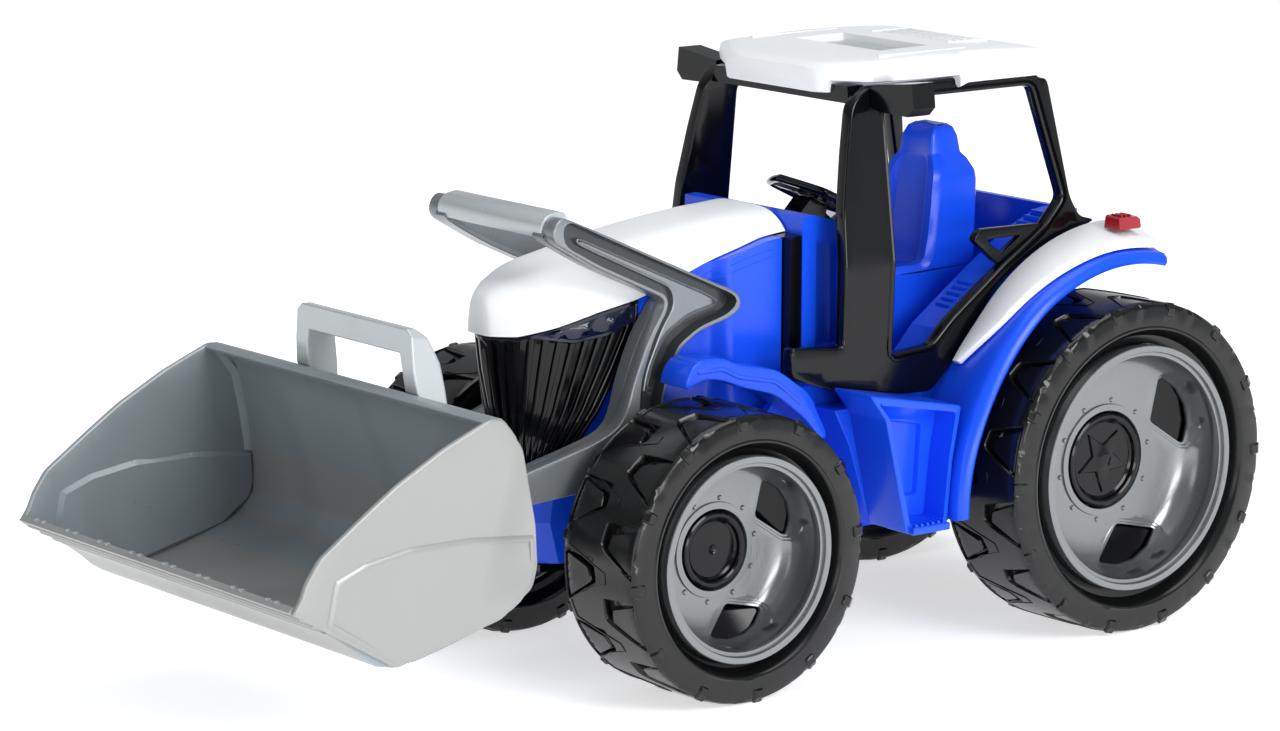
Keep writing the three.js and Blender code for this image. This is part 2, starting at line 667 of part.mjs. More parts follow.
// ---- loader ----
const ARM_OUTLINE = [
  [-330.5, 237], [-328.5, 242], [-324, 245], [-301, 235], [-269, 220.5], [-236.5, 206], [-214, 196.5],
  [-209.5, 192], [-210, 186.5], [-217, 182.5], [-236.5, 178], [-249.5, 170], [-256, 158], [-260, 146],
  [-262, 122], [-267, 110], [-275, 105.5], [-346, 101], [-374, 90], [-382, 89.6], [-387.6, 94],
  [-388.4, 99], [-386, 104], [-381, 106.8], [-346, 118], [-304, 127.5], [-290, 133], [-283.5, 141],
  [-279, 156], [-270, 177], [-259, 193], [-260.5, 197.5], [-301, 216], [-329, 232],
];
const ARM_POCKET = [
  [-322, 238.5], [-319, 240], [-301, 231.5], [-269, 217], [-237, 202.5], [-217, 193.5], [-214, 190.5],
  [-220, 186.5], [-238, 182], [-252.5, 173.5], [-259.5, 160], [-263.5, 147], [-273, 147], [-274, 156],
  [-265.5, 177], [-255, 192], [-256.5, 200], [-300, 220], [-321, 231.5],
];
const ARM_PANEL = [
  [-312, 233.5], [-269, 214.3], [-228, 196], [-220, 191], [-224, 188.5], [-240, 185.5], [-255, 177],
  [-263, 164], [-266, 157], [-268, 160], [-258, 181], [-250, 192], [-252, 201], [-300, 223.5], [-313, 230],
];
const ARM_FLANGE = [
  [-304, 127.5], [-290, 133], [-283.5, 141], [-279, 156], [-270, 177], [-259, 193],
  [-256, 191], [-266.5, 175.5], [-275, 155], [-279.5, 139.5], [-287.5, 130], [-303, 124],
];

function armPlate() {
  const plate = sideSlab(ARM_OUTLINE, ARM.inner, ARM.outer);
  const pocket = sideSlab(ARM_POCKET, ARM.outer - 4, ARM.outer + 1);
  const panel = sideSlab(ARM_PANEL, ARM.outer - 5, ARM.outer - 1.4);
  const flange = sideSlab(ARM_FLANGE, ARM.flange, ARM.outer);
  const bores = [LIFT_PIVOT, TILT_PIVOT].map(({ y, z }) => crossRod(PIN_BORE, 30, 60, y, z));
  return cut(join(cut(plate, cut(pocket, panel)), flange), ...bores);
}

function crossBar() {
  const half = ARM.inner - GAP;
  const outline = [[-330.5, 233], [-331, 240.5], [-327, 245], [-318, 246.5], [-314, 243.5], [-318.5, 237.5]];
  return sideSlab(outline, -half, half);
}

function crossTube() {
  const half = ARM.inner - GAP;
  return crossRod(6, -half, half, -352, 109, 12);
}

function pivotPin(pivot, from, to) {
  const profile = [
    [0, from], [PIN_RADIUS, from], [PIN_RADIUS, to], [PIN_HEAD, to],
    [PIN_HEAD, to + 1.6], [PIN_HEAD - 2, to + 2.8], [0, to + 2.8],
  ];
  return turned(profile, 10).translate(0, pivot.y, pivot.z);
}

// ---- bucket ----
const BUCKET_OUTSIDE = [
  [-420, 166.3], [-412, 165], [-401, 149.5], [-393.4, 111], [-392.4, 90], [-395.5, 80], [-414, 67.3],
  [-476, 52.6], [-534.3, 87.2], [-529.5, 93.5], [-526.5, 101], [-519, 111.5], [-492, 130], [-475, 141],
  [-448, 155],
];
const BUCKET_INSIDE = [
  [-430, 163], [-415, 162.5], [-404.3, 148.5], [-396.6, 110.5], [-395.7, 91], [-398.3, 82.3], [-415, 70.6],
  [-475.3, 56.3], [-532, 90], [-560, 96], [-560, 180], [-440, 180],
];

function bucket() {
  const shell = sideSlab(BUCKET_OUTSIDE, -BUCKET_HALF, BUCKET_HALF);
  const scoop = sideSlab(BUCKET_INSIDE, -BUCKET_HALF + BUCKET_WALL, BUCKET_HALF - BUCKET_WALL);
  const lugOutline = [[-394, 110], [-381, 107], [-373, 101], [-372, 94], [-377, 89.5], [-394, 88]];
  const lug = cut(
    sideSlab(lugOutline, ARM.outer + 0.6, ARM.outer + 4.6),
    crossRod(PIN_BORE, 50, 70, TILT_PIVOT.y, TILT_PIVOT.z),
  );
  return join(cut(shell, scoop), lug, mirrored(lug));
}

function bucketHandle() {
  const outer = [[-55, 148], [-50, 194], [-46, 197.5], [46, 197.5], [50, 194], [55, 148]];
  const hole = [[-44, 140], [-39.5, 184.5], [39.5, 184.5], [44, 140]];
  const bow = cut(frontSlab(outer, -414, -394), frontSlab(hole, -420, -380));
  const seatLine = [[-430, 100], [-430, 166.8], [-411.6, 165.4], [-400.6, 149.9], [-392, 108], [-392, 100]];
  const slopedBack = [
    [-415, 198.5], [-409, 198], [-398, 188], [-394.5, 165], [-390, 160], [-390, 210], [-415, 210],
  ];
  return cut(bow, sideSlab(seatLine, -80, 80), sideSlab(slopedBack, -80, 80));
}

// ---- the whole tractor ----
for (const [end, wheel] of [['front', FRONT], ['rear', REAR]]) {
  addWheel(`${end}_left`, wheel, false);
  addWheel(`${end}_right`, wheel, true);
  addAxle(`${end}_axle`, wheel);
}
add('hood_cover', hoodCover(), WHITE);
add('grille', grille(), BLACK);
addPair('headlamp', headlamp(), LENS);
add('body_shell', bodyShell(), BLUE);
add('underbody_plate', underbodyPlate(), BLACK);
SCREW_PLACES.forEach(([x, y], i) => add(`plate_screw_${i + 1}`, screw(), STEEL, [x, y, CHASSIS_BOTTOM - 4]));
addPair('cab_side', cabSide(), BLACK);
add('cab_front_header', headerBar(-141, -130), BLACK);
add('cab_rear_header', headerBar(-24, -12), BLACK);
addPair('work_lamp', workLamp(), BLACK);
add('cab_cowl', cabCowl(), BLACK);
add('cab_tub', cabTub(), BLUE);
add('dashboard', dashboard(), BLUE);
add('seat', seat(), BLUE);
add('steering_column', steeringColumn(), BLACK);
add('steering_wheel', steeringWheel(), BLACK, [0, COLUMN.y, COLUMN.z]);
add('roof', roof(), WHITE);
add('roof_hatch', roofHatch(), GREY);
addPair('rear_fender', rearFender(), BLUE);
addPair('fender_cover', fenderCover(), WHITE);
addPair('tail_lamp', tailLamp(), RED);
addPair('boarding_step', boardingStep(), BLUE);
add('tow_hitch', towHitch(), BLACK);
add('hitch_pin', hitchPin(), STEEL);
addPair('loader_arm', armPlate(), SILVER);
add('loader_crossbar', crossBar(), SILVER);
add('loader_cross_tube', crossTube(), SILVER);
addPair('lift_pin', pivotPin(LIFT_PIVOT, 32, 54.2), STEEL);
addPair('tilt_pin', pivotPin(TILT_PIVOT, 44, 58.6), STEEL);
add('bucket', bucket(), SILVER);
add('bucket_handle', bucketHandle(), SILVER);

export default tractor;
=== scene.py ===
from math import asin, ceil, copysign, cos, dist, hypot, inf, pi, radians, sin, tau

import bmesh
import bpy
from mathutils import Matrix, Vector
from mathutils.geometry import delaunay_2d_cdt


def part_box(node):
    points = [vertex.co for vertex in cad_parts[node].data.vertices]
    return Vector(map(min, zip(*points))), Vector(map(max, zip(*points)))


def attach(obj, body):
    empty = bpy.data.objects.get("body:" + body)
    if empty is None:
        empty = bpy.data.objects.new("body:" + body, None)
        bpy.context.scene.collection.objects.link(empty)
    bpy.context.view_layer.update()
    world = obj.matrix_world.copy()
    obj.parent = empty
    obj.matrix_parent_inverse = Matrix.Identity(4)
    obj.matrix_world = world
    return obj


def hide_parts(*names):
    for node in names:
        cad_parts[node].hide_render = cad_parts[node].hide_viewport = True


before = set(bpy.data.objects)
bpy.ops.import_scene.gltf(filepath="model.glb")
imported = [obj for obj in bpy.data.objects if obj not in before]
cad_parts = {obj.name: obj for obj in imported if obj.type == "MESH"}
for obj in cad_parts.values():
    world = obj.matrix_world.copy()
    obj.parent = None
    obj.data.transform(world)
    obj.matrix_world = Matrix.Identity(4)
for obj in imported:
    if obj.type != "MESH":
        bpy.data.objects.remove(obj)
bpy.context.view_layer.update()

# Shapes are built in the part's own millimetres, with stations measured from the rear axle, and then moved by
# AXLE_Y into the row frame.
AXLE_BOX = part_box("rear_axle")
AXLE_Y = (AXLE_BOX[0].y + AXLE_BOX[1].y) * 500
MM = 0.001

FRONT = dict(
    y=-259.4, radius=74.2, inner=63.6, outer=124.6, bead=53.2, lip=60.8, hub=20.6, cap=94.7,
    pitches=12, phase=9.2,
    pocket=[(0, 3.0), (0.05, 27.6), (0.36, 29.4), (0.443, 25.4), (0.727, 3.0)],
    block=[(0.064, 4.4), (0.19, 22.0), (0.385, 24.4), (0.675, 4.4)],
)
REAR = dict(
    y=0.0, radius=89.1, inner=73.7, outer=133.7, bead=66.2, lip=75.6, hub=26.2, cap=105.1,
    pitches=14, phase=4.0,
    pocket=[(0, 3.0), (0.15, 26.8), (0.37, 28.9), (0.45, 25.4), (0.70, 3.0)],
    block=[(0.064, 4.4), (0.235, 21.6), (0.39, 23.6), (0.648, 4.4)],
)
PITCH_STEPS = 8                     # points round the tyre in one tread pitch

HOOD_LINE = [
    (-345, 179.5), (-327, 179.5), (-308, 184), (-286, 190), (-262, 195), (-220, 209.5), (-184, 218),
    (-165, 220.5),
]
HOOD_STATIONS = [
    (-338.2, 6, 194), (-336.6, 10.5, 199.5), (-331, 16, 204.5), (-323, 22, 208), (-308, 29.5, 213),
    (-280, 35.8, 218), (-240, 41, 225), (-200, 43.6, 229.5), (-177, 44, 231), (-166.5, 46.5, 231.5),
]


# ---- outlines ----
def between(a, b, share):
    return tuple(p + (q - p) * share for p, q in zip(a, b))


def polar(radius, turn, centre=(0, 0)):
    return centre[0] + radius * cos(turn), centre[1] + radius * sin(turn)


def spline(points, steps=4):
    """An open curve through the points."""
    curve = []
    for i in range(len(points) - 1):
        a, b = points[max(i - 1, 0)], points[i]
        c, d = points[i + 1], points[min(i + 2, len(points) - 1)]
        for k in range(steps):
            t = k / steps
            curve.append(tuple(
                0.5 * (2 * q + (r - p) * t + (2 * p - 5 * q + 4 * r - s) * t * t
                       + (3 * q - p - 3 * r + s) * t ** 3)
                for p, q, r, s in zip(a, b, c, d)
            ))
    return curve + [tuple(points[-1])]


def rounded(outline, radius, steps=4):
    """A closed outline with its corners turned into short curves."""
    curve = []
    for i, corner in enumerate(outline):
        ends = []
        for other in (outline[i - 1], outline[(i + 1) % len(outline)]):
            length = dist(corner, other)
            ends.append(between(corner, other, min(radius, 0.46 * length) / length))
        for k in range(steps + 1):
            t = k / steps
            curve.append(between(between(ends[0], corner, t), between(corner, ends[1], t), t))
    return curve


def turning(outline):
    return sum(a[0] * b[1] - b[0] * a[1] for a, b in zip(outline, outline[1:] + outline[:1]))


def inset(outline, distance):
    """A closed outline moved inwards, corner by corner."""
    sign = 1 if turning(outline) > 0 else -1
    moved = []
    for i, corner in enumerate(outline):
        before, after = Vector(outline[i - 1]), Vector(outline[(i + 1) % len(outline)])
        first, second = (Vector(corner) - before).normalized(), (after - Vector(corner)).normalized()
        normals = [Vector((-d.y, d.x)) * sign for d in (first, second)]
        middle = (normals[0] + normals[1]).normalized()
        reach = distance / max(0.5, middle.dot(normals[0]))
        moved.append(tuple(Vector(corner) + middle * reach))
    return moved


def at_height(outline, height):
    return [(*point, height) for point in outline]


def terraces(outline, *levels):
    """Loops that follow one outline, each with its own inset and height."""
    return [at_height(inset(outline, gap) if gap else outline, height) for gap, height in levels]


def disc(centre, radius, steps=10, height=0.0):
    return at_height([polar(radius, tau * k / steps, centre) for k in range(steps)], height)


def left_of(line, i):
    """The unit direction to the left of an open line, at one of its points."""
    run = (Vector(line[min(i + 1, len(line) - 1)]) - Vector(line[max(i - 1, 0)])).normalized()
    return Vector((-run.y, run.x))


def refine(loop, step):
    """A closed loop with points added along its long sides."""
    fine = []
    for i, a in enumerate(loop):
        b = loop[(i + 1) % len(loop)]
        count = max(1, ceil(dist(a[:2], b[:2]) / step))
        fine += [between(a, b, k / count) for k in range(count)]
    return fine


def inside(point, loop):
    x, y = point
    hit = False
    for a, b in zip(loop, loop[1:] + loop[:1]):
        if (a[1] > y) != (b[1] > y) and x < a[0] + (b[0] - a[0]) * (y - a[1]) / (b[1] - a[1]):
            hit = not hit
    return hit


def edge_distance(point, loop):
    best = inf
    p = Vector(point)
    for a, b in zip(loop, loop[1:] + loop[:1]):
        a, b = Vector(a[:2]), Vector(b[:2])
        share = min(1, max(0, (p - a).dot(b - a) / max((b - a).length_squared, 1e-9)))
        best = min(best, (p - a - (b - a) * share).length)
    return best


# ---- shapes ----
def grid(rows, around=False, along=False):
    """Quads between rows of points; around closes every row, along joins the last row to the first."""
    count = len(rows[0])
    faces = []
    for r in range(len(rows) if along else len(rows) - 1):
        low, high = r * count, ((r + 1) % len(rows)) * count
        for c in range(count if around else count - 1):
            d = (c + 1) % count
            faces.append((low + c, low + d, high + d, high + c))
    return [point for row in rows for point in row], faces


def loft(rings):
    """A closed solid through rings of points."""
    points, faces = grid(rings, around=True)
    count = len(rings[0])
    return points, faces + [tuple(range(count)), tuple(range(len(points) - count, len(points)))]


def merged(shapes):
    points, faces = [], []
    for more_points, more_faces in shapes:
        base = len(points)
        points += more_points
        faces += [tuple(base + i for i in face) for face in more_faces]
    return points, faces


def moved(shape, change):
    return [change(*point) for point in shape[0]], shape[1]


def mirrored(shape, plane=0.0):
    return moved(shape, lambda x, y, z: (2 * plane - x, y, z))


def relief(outline, loops, spots, lift, holes=()):
    """A sheet over a flat outline of (u, v, height) points. Loops inside it carry their own heights, and
    spots take the height of the innermost loop round them; lift turns (u, v, height) into a point."""
    points, borders = [], []
    for loop in [outline, *loops, *holes]:
        borders.append(list(range(len(points), len(points) + len(loop))))
        points += loop if turning(loop) > 0 else loop[::-1]
    for spot in spots:
        if not inside(spot, outline) or any(inside(spot, hole) for hole in holes):
            continue
        if any(edge_distance(spot, loop) < 0.6 for loop in [outline, *loops, *holes]):
            continue
        height = 0.0
        for loop in [outline, *loops]:
            if inside(spot, loop):
                height = sum(point[2] for point in loop) / len(loop)
        points.append((*spot, height))
    found = delaunay_2d_cdt([Vector(p[:2]) for p in points], [], borders, 1, 1e-5)
    flat, _, triangles, sources, _, owners = found
    first_hole = len(borders) - len(holes)
    heights = [points[source[0]][2] if source else 0.0 for source in sources]
    faces = [tuple(t) for t, owner in zip(triangles, owners) if not any(o >= first_hole for o in owner)]
    return [lift(p.x, p.y, h) for p, h in zip(flat, heights)], faces


def spots_over(u0, u1, v0, v1, step):
    across, along = max(1, round((u1 - u0) / step)), max(1, round((v1 - v0) / step))
    return [
        (u0 + (u1 - u0) * (i + 0.5) / across, v0 + (v1 - v0) * (j + 0.5) / along)
        for i in range(across) for j in range(along)
    ]


def edge_rings(low, high, edge):
    """Inset and height of the rings round a wall with rounded edges, from its low face to its high one."""
    turns = [k * pi / 6 for k in range(4)]
    bend = [(edge * (1 - sin(t)), edge * (1 - cos(t))) for t in turns]
    rising = [(gap, low + depth) for gap, depth in bend]
    return rising + [(gap, high - depth) for gap, depth in reversed(bend)]


def slab(outline, low, high, place, edge=0.6):
    """An outline of (u, v) points made solid between two heights, with rounded edges."""
    levels = edge_rings(low, high, edge)
    return loft([[place(u, v, height) for u, v in inset(outline, gap)] for gap, height in levels])


def boss(centre, steps, *rings):
    """Round loops about one centre, each with its own radius and height."""
    return [disc(centre, radius, steps, height) for radius, height in rings]


def side_slab(outline, x0, x1, edge=0.6):
    return slab(outline, x0, x1, lambda y, z, x: (x, y, z), edge)


def plan_slab(outline, z0, z1, edge=0.6):
    return slab(outline, z0, z1, lambda x, y, z: (x, y, z), edge)


def box(x0, x1, y0, y1, z0, z1, edge=0.4):
    return plan_slab([(x0, y0), (x1, y0), (x1, y1), (x0, y1)], z0, z1, edge)


def plate(outline, loops, x0, x1, edge=0.7, step=12, back=(), window=None, lean=lambda x, y, z: (x, y, z)):
    """A side plate with rounded edges. Both faces can carry reliefs, in heights along +X, and a window can go
    through it; lean bends the finished plate."""
    spans = [(min(p[k] for p in outline), max(p[k] for p in outline)) for k in (0, 1)]
    spots = spots_over(*spans[0], *spans[1], step)
    walls = []
    for border, sign in [(outline, 1)] + ([(window, -1)] if window else []):
        rings = [[(x, *p) for p in inset(border, sign * gap)] for gap, x in edge_rings(x0, x1, edge)]
        walls.append(grid(rings, around=True))
    rim_line = at_height(inset(outline, edge), 0.0)
    holes = [at_height(inset(window, -edge), 0.0)] if window else []
    faces = [
        relief(rim_line, marks, spots, lambda y, z, h: (x + h, y, z), holes)
        for x, marks in ((x0, back), (x1, loops))
    ]
    return moved(merged([*walls, *faces]), lean)


def lathe(profile, steps, phase=0.0):
    """A profile of (radius, x) points turned about a line across the tractor."""
    turns = [tau * k / steps + phase for k in range(steps)]
    return grid([[(x, *polar(r, turn)) for r, x in profile] for turn in turns], along=True)


def turned(shape, turn):
    """A shape turned about the tractor's crosswise axis."""
    c, s = cos(turn), sin(turn)
    return moved(shape, lambda x, y, z: (x, c * y - s * z, s * y + c * z))


# ---- pieces ----
def clean(mesh):
    work = bmesh.new()
    work.from_mesh(mesh)
    bmesh.ops.remove_doubles(work, verts=work.verts, dist=2e-6)
    bmesh.ops.dissolve_degenerate(work, edges=work.edges, dist=2e-6)
    loose = [v for v in work.verts if not v.link_faces]
    bmesh.ops.delete(work, geom=loose, context="VERTS")
    bmesh.ops.recalc_face_normals(work, faces=work.faces)
    work.to_mesh(mesh)
    work.free()


def mesh_of(name, shapes):
    points, faces = merged(shapes)
    mesh = bpy.data.meshes.new(name)
    mesh.from_pydata([(x * MM, (y + AXLE_Y) * MM, z * MM) for x, y, z in points], [], faces)
    clean(mesh)
    return mesh


def add_object(name, data):
    added = bpy.data.objects.new(name, data)
    bpy.context.scene.collection.objects.link(added)
    return added


def make(name, shapes, look, body, slot, nodes=(), sharp=38, bevel=0.0, wall=0.0):
    """A piece that rides on a body and stands for some CAD nodes; the slot is not used."""
    mesh = mesh_of(name, shapes)
    mesh.materials.append(look)
    mesh.shade_smooth()
    mesh.set_sharp_from_angle(angle=radians(sharp))
    piece = add_object(name, mesh)
    if wall:
        solidify = piece.modifiers.new("wall", "SOLIDIFY")
        solidify.thickness, solidify.offset = wall * MM, -1
    if bevel:
        round_edges(piece, bevel)
    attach(piece, body)
    if nodes:
        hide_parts(*nodes)
    return piece


def make_pair(name, shapes, look, body, slot, nodes=(), **options):
    pieces = []
    for side, change in (("left", lambda s: s), ("right", mirrored)):
        parts = [change(shape) for shape in shapes]
        own_nodes = [f"{node}_{side}" for node in nodes]
        pieces.append(make(f"{name}_{side}", parts, look, body, slot, own_nodes, **options))
    return pieces


def second_look(piece, look, chosen):
    """A second material for the faces whose middle, in the part's millimetres, is chosen: painted shade in the
    arms' recesses, a bluer grey inside the bucket.
    """
    piece.data.materials.append(look)
    for face in piece.data.polygons:
        x, y, z = face.center / MM
        if chosen(abs(x), y - AXLE_Y, z):
            face.material_index = 1


def round_edges(piece, width):
    bevel = piece.modifiers.new("rounding", "BEVEL")
    bevel.width, bevel.segments = width * MM, 3
    bevel.limit_method, bevel.angle_limit = "ANGLE", radians(32)
    bevel.harden_normals = True


def keep(node, look, slot, width=0.5):
    """A CAD node that stays, with its edges rounded."""
    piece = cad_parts[node]
    piece.data.materials.clear()
    piece.data.materials.append(look)
    piece.data.shade_smooth()
    piece.data.set_sharp_from_angle(angle=radians(32))
    if width:
        round_edges(piece, width)


# ---- finishes ----
def add_node(tree, kind, inputs, **settings):
    """A node whose inputs are plain values, or sockets of other nodes to link from."""
    made = tree.nodes.new("ShaderNode" + kind)
    for name, value in settings.items():
        setattr(made, name, value)
    for name, value in inputs.items():
        if isinstance(value, bpy.types.NodeSocket):
            tree.links.new(value, made.inputs[name])
        else:
            made.inputs[name].default_value = value
    return made


def shade(colour, amount):
    return (*[min(1.0, max(0.0, c * amount)) for c in colour], 1.0)


def plastic(
    name, colour, roughness, vary=0.05, grain=700.0, bump=0.06, flow=0.0, coat=0.0, metallic=0.0, ior=1.5,
):
    """Moulded plastic: slow colour drift, uneven gloss, fine grain, and flow marks where flow is above 0."""
    look = bpy.data.materials.new(name)
    look.use_nodes = True
    tree = look.node_tree
    shader = tree.nodes["Principled BSDF"]
    place = add_node(tree, "TexCoord", {}).outputs["Object"]

    def noise(scale, detail, distortion=0.0):
        inputs = {"Vector": place, "Scale": scale, "Detail": detail, "Distortion": distortion}
        return add_node(tree, "TexNoise", inputs).outputs["Fac"]

    def blend(share, low, high):
        inputs = {"Factor": share, "A": low, "B": high}
        return add_node(tree, "Mix", inputs, data_type="RGBA").outputs["Result"]

    def rescaled(value, low, high, least, most):
        inputs = {"Value": value, "From Min": low, "From Max": high, "To Min": least, "To Max": most}
        return add_node(tree, "MapRange", inputs).outputs[0]

    drift, speck = noise(16.0, 3.0), noise(grain, 2.0)
    tint = blend(drift, shade(colour, 1 - vary), shade(colour, 1 + vary))
    if flow:
        lines = add_node(tree, "Math", {0: noise(4.5, 1.0, 0.6), 1: 15.0}, operation="MULTIPLY").outputs[0]
        wave = add_node(tree, "Math", {0: lines}, operation="SINE").outputs[0]
        tint = blend(rescaled(wave, 0.86, 1.0, 0.0, flow), tint, shade(colour, 0.6))
    gloss = rescaled(drift, 0.3, 0.7, roughness * 0.85, roughness * 1.15)
    dent = add_node(tree, "Bump", {"Height": speck, "Strength": bump, "Distance": 0.0004}).outputs[0]
    for socket, source in (("Base Color", tint), ("Roughness", gloss), ("Normal", dent)):
        tree.links.new(source, shader.inputs[socket])
    for socket, value in (("Metallic", metallic), ("IOR", ior), ("Coat Weight", coat)):
        shader.inputs[socket].default_value = value
    return look


BLUE = plastic("blue_plastic", (0.007, 0.076, 0.80), 0.24, vary=0.05, ior=1.38)
WHITE = plastic("white_plastic", (0.84, 0.855, 0.87), 0.32, vary=0.02, ior=1.42)
BLACK = plastic("black_plastic", (0.002, 0.0022, 0.003), 0.13, vary=0.2, bump=0.02, ior=1.36)
TYRE = plastic("tyre_plastic", (0.004, 0.0042, 0.0045), 0.19, vary=0.25, bump=0.03, ior=1.45)
SILVER = plastic("silver_plastic", (0.215, 0.235, 0.25), 0.28, vary=0.05, metallic=0.45, flow=0.06)
# A darker copy of the silver for the arms' recesses: painted shade.
SHADE_PAINTED_SILVER = plastic("shaded_silver_plastic", (0.05, 0.056, 0.06), 0.25, vary=0.1, metallic=0.3, flow=0.06)
INNER_GREY = plastic("bucket_inner_plastic", (0.285, 0.325, 0.345), 0.32, vary=0.04, metallic=0.3, flow=0.18)
# A paler copy of the silver for the bucket's bow and the crossbar, which face the light from above: painted
# light.
LIT_SILVER = plastic("painted_light_silver_plastic", (0.50, 0.54, 0.55), 0.28, vary=0.05, metallic=0.35, flow=0.06)
BUCKET_GREY = plastic("bucket_plastic", (0.315, 0.32, 0.312), 0.34, vary=0.04, metallic=0.3, flow=0.22)
RIM_SILVER = plastic("rim_plastic", (0.225, 0.235, 0.24), 0.23, vary=0.04, metallic=0.75, flow=0.06)
# Grey for the roof hatch, a part in the roof's recess whose grey stands in for the shade there: painted shade.
GREY = plastic("grey_plastic", (0.42, 0.46, 0.47), 0.40, vary=0.06)
RED = plastic("red_lamp", (0.30, 0.008, 0.014), 0.2, vary=0.1, coat=0.3)
LENS = plastic("lens", (0.0015, 0.003, 0.02), 0.08, vary=0.25, coat=0.2, ior=1.4)
STEEL = plastic("steel", (0.52, 0.53, 0.55), 0.28, vary=0.06, grain=1600.0, metallic=1.0)


# ---- tyres ----
def tread_profile(wheel):
    """From the lip round the sidewall's outer edge, over the shoulder and on to the middle of the tread."""
    radius, edge, lip = wheel["radius"], wheel["outer"], wheel["lip"]
    middle = (wheel["inner"] + wheel["outer"]) / 2
    return [
        (lip, edge - 0.1), (lip + 0.9, edge - 0.9), (radius - 3.2, edge - 0.9), (radius - 1.3, edge - 1.7),
        (radius - 0.3, edge - 3.5), (radius, edge - 6.0), (radius, edge - 14), (radius, edge - 22),
        (radius, middle),
    ]


def along(profile, s):
    """The point of a profile at a length s along it, and its outward direction there."""
    for a, b in zip(profile, profile[1:]):
        length = dist(a, b)
        if s <= length or b == profile[-1]:
            r, x = between(a, b, s / length)
            return r, x, ((a[1] - b[1]) / length, (b[0] - a[0]) / length)
        s -= length


def tread_half(wheel):
    """The outer half of the tread, with a pocket round a raised block and a nub in every pitch."""
    profile = tread_profile(wheel)
    lengths = [0.0]
    for a, b in zip(profile, profile[1:]):
        lengths.append(lengths[-1] + dist(a, b))
    pitch = tau * wheel["radius"] / wheel["pitches"]
    shoulder = lengths[5] - 6.0
    middle = lengths[-1]
    start = -0.035 * pitch
    columns = [start + pitch * k / PITCH_STEPS for k in range(PITCH_STEPS + 1)]
    outline = [(u, 0.0) for u in columns] + [(columns[-1], s) for s in lengths[1:-1]]
    outline += [(u, middle) for u in reversed(columns)] + [(columns[0], s) for s in reversed(lengths[1:-1])]

    def levels(corners, radius, *steps):
        """Loops round a mark, each with an inset, a height on the tread and a height over the shoulder."""
        line = rounded([(across * pitch, shoulder + s) for across, s in corners], radius, 3)
        for gap, deep, shallow in steps:
            flat = inset(line, gap)
            ramp = [deep + (shallow - deep) * min(1, max(0, (12 + shoulder - s) / 8)) for u, s in flat]
            yield refine([(u, s, h) for (u, s), h in zip(flat, ramp)], 4.5)

    nub = [(0.765, -4.6), (0.765, 3.4), (0.925, 3.4), (0.925, -4.6)]
    loops = [
        *levels(wheel["pocket"], 1.6, (0.0, 0.0, 0.0), (0.3, -0.5, -0.3), (0.9, -4.2, -2.2)),
        *levels(wheel["block"], 1.4, (-0.55, -4.2, -2.2), (0.1, -1.1, -1.2), (0.45, -0.7, -1.0)),
        *levels(nub, 1.2, (0.0, 0.0, 0.0), (0.5, 1.0, 1.0), (0.9, 1.25, 1.25)),
    ]

    def lift(u, s, height):
        r, x, (out_r, out_x) = along(profile, s)
        turn = u / wheel["radius"]
        return (x + out_x * height, *polar(r + out_r * height, turn))

    spots = [(u + pitch / PITCH_STEPS / 2, s) for u in columns[:-1] for s in lengths[1:-1]]
    spots += spots_over(start, start + pitch, lengths[5] + 1, middle - 1, 4.2)
    cell = relief(at_height(outline, 0.0), loops, spots, lift)
    cells = [turned(cell, k * tau / wheel["pitches"]) for k in range(wheel["pitches"])]
    return cells, start / wheel["radius"]


# The parting line: shares of a pitch and of the tyre's width, and half its own width.
SEAM_HALF = 0.38
SEAM = [(0.20, 0.10), (0.45, 0.12), (0.71, 0.60), (0.84, 0.61), (0.98, 0.34)]


def tread_seam(wheel):
    """The thin raised parting line that weaves between the pockets."""
    count, radius = wheel["pitches"], wheel["radius"]
    width = wheel["outer"] - wheel["inner"]
    path = []
    for k in range(count):
        path += [((k + turn) * tau / count, wheel["inner"] + share * width) for turn, share in SEAM]
    fine = []
    for a, b in zip(path, path[1:] + [(path[0][0] + tau, path[0][1])]):
        fine += [between(a, b, k / 4) for k in range(4)]
    rows = []
    for i, (turn, x) in enumerate(fine):
        before, after = fine[i - 1], fine[(i + 1) % len(fine)]
        step = (after[0] - before[0] + pi) % tau - pi
        run = Vector((step, (after[1] - before[1]) / radius))
        side = Vector((-run.y, run.x)).normalized() * SEAM_HALF
        rows.append([
            (x + side.y * across, *polar(radius + up, turn + side.x * across / radius))
            for across, up in ((-1, -0.3), (-0.6, 0.42), (0.6, 0.42), (1, -0.3))
        ])
    return grid(rows, around=True, along=True)


def tyre(wheel):
    cells, phase = tread_half(wheel)
    middle = (wheel["inner"] + wheel["outer"]) / 2
    stagger = pi / wheel["pitches"]
    inner = [mirrored(turned(cell, stagger), middle) for cell in cells]
    lip, bead, edge, back = wheel["lip"], wheel["bead"], wheel["outer"], wheel["inner"]
    hollow = [
        (lip, -0.1), (lip - 0.9, -0.4), (lip - 1.9, -1.8), (lip - 3.4, -5.4), (lip - 4.9, -7.6), (bead, -8.4),
    ]
    barrel = [(r, edge + depth) for r, depth in hollow] + [(r, back - depth) for r, depth in reversed(hollow)]
    ring = lathe(barrel, PITCH_STEPS * wheel["pitches"], phase)
    return [turned(shape, radians(wheel["phase"])) for shape in (*cells, *inner, ring, tread_seam(wheel))]


# ---- rims and caps ----
def bowl(wheel, r):
    """How far out the rim's disc stands at a radius."""
    edge, cap = wheel["bead"] - 0.9, wheel["cap"]
    start = wheel["hub"] + 5
    share = max(0.0, (r - start) / (edge * BRIM - start))
    return cap - 1 + 3.2 * share ** 1.5 + 9.5 * share ** 7


